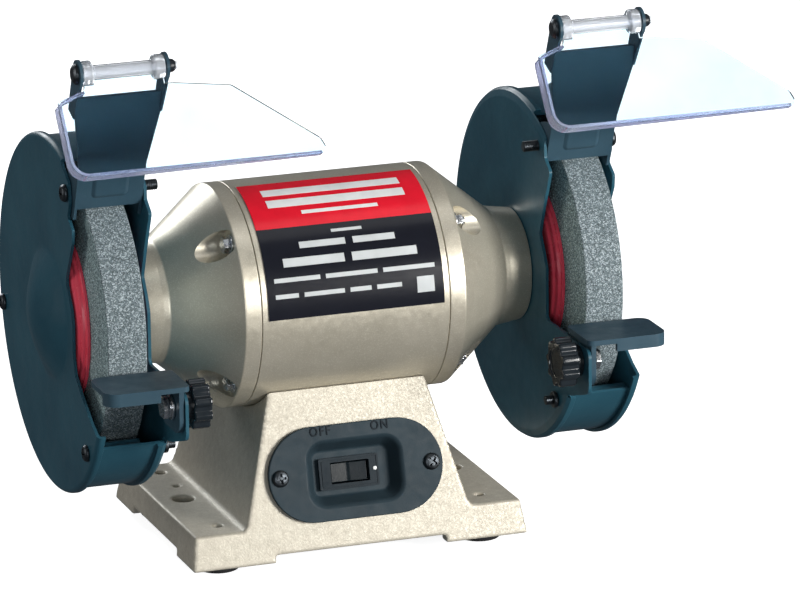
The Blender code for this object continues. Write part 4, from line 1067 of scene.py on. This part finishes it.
def build_rest(hand, side):
    """A pressed plate whose front edge is rolled down, with a slotted leg."""
    left, right, front, back = 103.2, 145.5, -108.0, -77.0
    outline = rounded([(left, front), (right, front), (right, back), (left, back)], [3, 7, 6, 2], 10)
    top = AXIS_Z - 12.3
    body = slab("rest", [outline], top - 2.6, top, upright(0, 0))
    start, inside, thick = left + 15, right - 2.4, front + 2.4
    inner = [(start, thick), (inside, thick), (inside, front + 9), (start, front + 9)]
    outlines = [outline, rounded(inner, [0.5, 4.8, 0.5, 0.5], 10)]
    skirt = slab("skirt", outlines, top - 6.6, top - 2.0, upright(0, 0))
    keep = [
        (start, front - 5), (right + 5, front - 5), (right + 5, front + 8), (right - 1, front + 8),
        (inside - 0.5, front + 8), (start, thick),
    ]
    trim = slab("keep", [keep], top - 9, top + 3, upright(0, 0))
    join(body, combine(skirt, "INTERSECT", [trim]))
    leg_back = REST_BOLT[0] + 18
    leg = rounded([(-105, -13.3), (-105, -38), (leg_back, -38), (leg_back, -13.3)], [0, 8, 8, 0], 8)
    slot = stadium((REST_BOLT[0] + 6, REST_BOLT[1]), 6, 3.3, 12)
    join(body, slab("leg", [leg, slot], 105.7, 108.2, ALONG_X))
    soften(body, 0.6, 50, 3)
    rides, node = f"{hand}_rest", f"{hand}_tool_rest"
    finish(body, f"{hand}_rest_plate", BLACK_STEEL, rides, node, side)

    where = along_x(*REST_BOLT)
    start = WALL_X[1] + 0.6 + 2.5
    bolt = rod("bolt", 2.9, 92.5, start + 1, where, 32)
    washer = rod("washer", 6.4, start, start + 1.2, where, 48, 0.25)
    spring_washer = rod("spring_washer", 5.0, start + 1.2, start + 2.2, where, 40, 0.3)
    hexagon = slab("hex", [circle((0, 0), 5.77, 6)], start + 2.2, start + 5.2, where)
    soften(hexagon, 0.4, 40, 2)
    merge(bolt, washer, spring_washer, hexagon)
    finish(bolt, f"{hand}_clamp_bolt", ZINC, "housing", f"{hand}_rest_bolt", side)

    end = WALL_X[0] - 0.3
    lobes, count, steps = [], 9, 162
    for step in range(steps):
        turn = 2 * pi * step / steps
        radius = 11.5 + 0.95 * max(-1, min(1, cos(count * turn) * 1.6))
        lobes.append((radius * cos(turn), radius * sin(turn)))
    knob = slab("knob", [lobes], end - 12.8, end - 3.4, where)
    soften(knob, 1.5, 55, 4)
    join(knob, rod("collar", 8, end - 4, end, where, 48, 0.4))
    dish = [(end - 14.5, 0), (end - 14.5, 8.4), (end - 12.0, 7.4), (end - 12.0, 0)]
    cut(knob, turned("dish", rounded(dish, [0, 0, 0.8, 0], 4), where, 48))
    cut(knob, rod("bore", 3.2, end - 11.6, end + 5, where, 24))
    settle(knob, False)
    finish(knob, f"{hand}_knob_grip", KNOB, f"{hand}_knob", f"{hand}_rest_knob", side, 30)


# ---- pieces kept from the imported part


def paint_kept():
    kept = {
        "bottom_plate": SHEET, "capacitor": CAN, "stator_core": LAMINATION, "rotor_core": LAMINATION,
        "left_winding": COPPER, "right_winding": COPPER, "left_bearing": STEEL, "right_bearing": STEEL,
        "shaft": STEEL,
    }
    for node, material in kept.items():
        dress(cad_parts[node], material, 32)


# ---- stage


def build_stage():
    bm = bmesh.new()
    bmesh.ops.create_grid(bm, x_segments=1, y_segments=1, size=9000)
    floor = to_object("floor", bm, upright(0, 2500, -0.4))
    glow = {"Emission_Color": (1, 1, 1, 1), "Emission_Strength": 0.84}
    f = Finish("floor", 0.9, 0.0, Specular_IOR_Level=0.1, **glow)
    f.vary("Base Color", f.noise(3, 2), (0.86, 0.86, 0.865), (0.89, 0.89, 0.89))
    floor.visible_diffuse = False
    floor.visible_glossy = False
    floor.data.materials.append(f.material)

    world = bpy.data.worlds.new("studio")
    world.use_nodes = True
    sky = world.node_tree.nodes["Background"].inputs
    sky["Color"].default_value = (0.80, 0.86, 0.95, 1)
    sky["Strength"].default_value = 0.10
    bpy.context.scene.world = world


def towards(azimuth, elevation):
    """A unit vector; azimuth is from the front towards the right-hand side, both in degrees."""
    a, e = radians(azimuth), radians(elevation)
    return Vector((sin(a) * cos(e), -cos(a) * cos(e), sin(e)))


def add_light(name, azimuth, elevation, distance, size, power, colour=(1, 1, 1)):
    """A rectangular softbox, aimed at the middle of the grinder."""
    offset = towards(azimuth, elevation) * distance
    light = bpy.data.lights.new(name, "AREA")
    light.shape = "RECTANGLE"
    light.size, light.size_y = size[0] * MM, size[1] * MM
    light.energy = power
    light.color = colour
    lamp = add_object(name, light)
    spot = Matrix.Translation((Vector((0, 0, 120)) + offset) * MM + CENTRE)
    lamp.matrix_world = spot @ offset.to_track_quat("Z", "Y").to_matrix().to_4x4()


def add_camera():
    """A long lens at the photograph's angle: from the left of the front, a little above."""
    azimuth, roll = -19.4, radians(-0.68)
    target = Vector((41.0, 0.0, 116.53))
    distance = 3160.2
    back = towards(azimuth, 16.01)
    flat_right = towards(azimuth + 90, 0)
    flat_up = back.cross(flat_right)
    right = cos(roll) * flat_right + sin(roll) * flat_up
    up = cos(roll) * flat_up - sin(roll) * flat_right
    matrix = Matrix((right, up, back)).transposed().to_4x4()
    matrix.translation = (target + back * distance) * MM + CENTRE
    lens = bpy.data.cameras.new("camera")
    lens.sensor_width = 36
    lens.lens = 281.0
    lens.shift_x = 3.0 / 800
    lens.clip_end = 30
    camera = add_object("camera", lens)
    camera.matrix_world = matrix
    bpy.context.scene.camera = camera


add_camera()
build_stage()
add_light("key", 36, 11, 2000, (800, 700), 52, (1.0, 0.985, 0.955))
add_light("front", -24, 6, 2300, (500, 900), 9, (0.95, 0.98, 1.0))
add_light("top", 30, 70, 1600, (1200, 500), 2)
add_light("left", -96, 14, 1500, (500, 900), 5, (1.0, 0.96, 0.91))
add_light("back", 190, 24, 2000, (900, 800), 16, (0.95, 0.98, 1.0))
bpy.context.scene.view_settings.view_transform = "Standard"

build_base()
build_feet()
build_cord_gland()
build_switch()
build_motor()
build_label()
for hand, side in HANDS:
    build_guard(hand, side)
    build_cover(hand, side)
    build_guard_screws(hand, side)
    build_wheel(hand, side)
    build_arm(hand, side)
    build_shield(hand, side)
    build_rest(hand, side)
paint_kept()
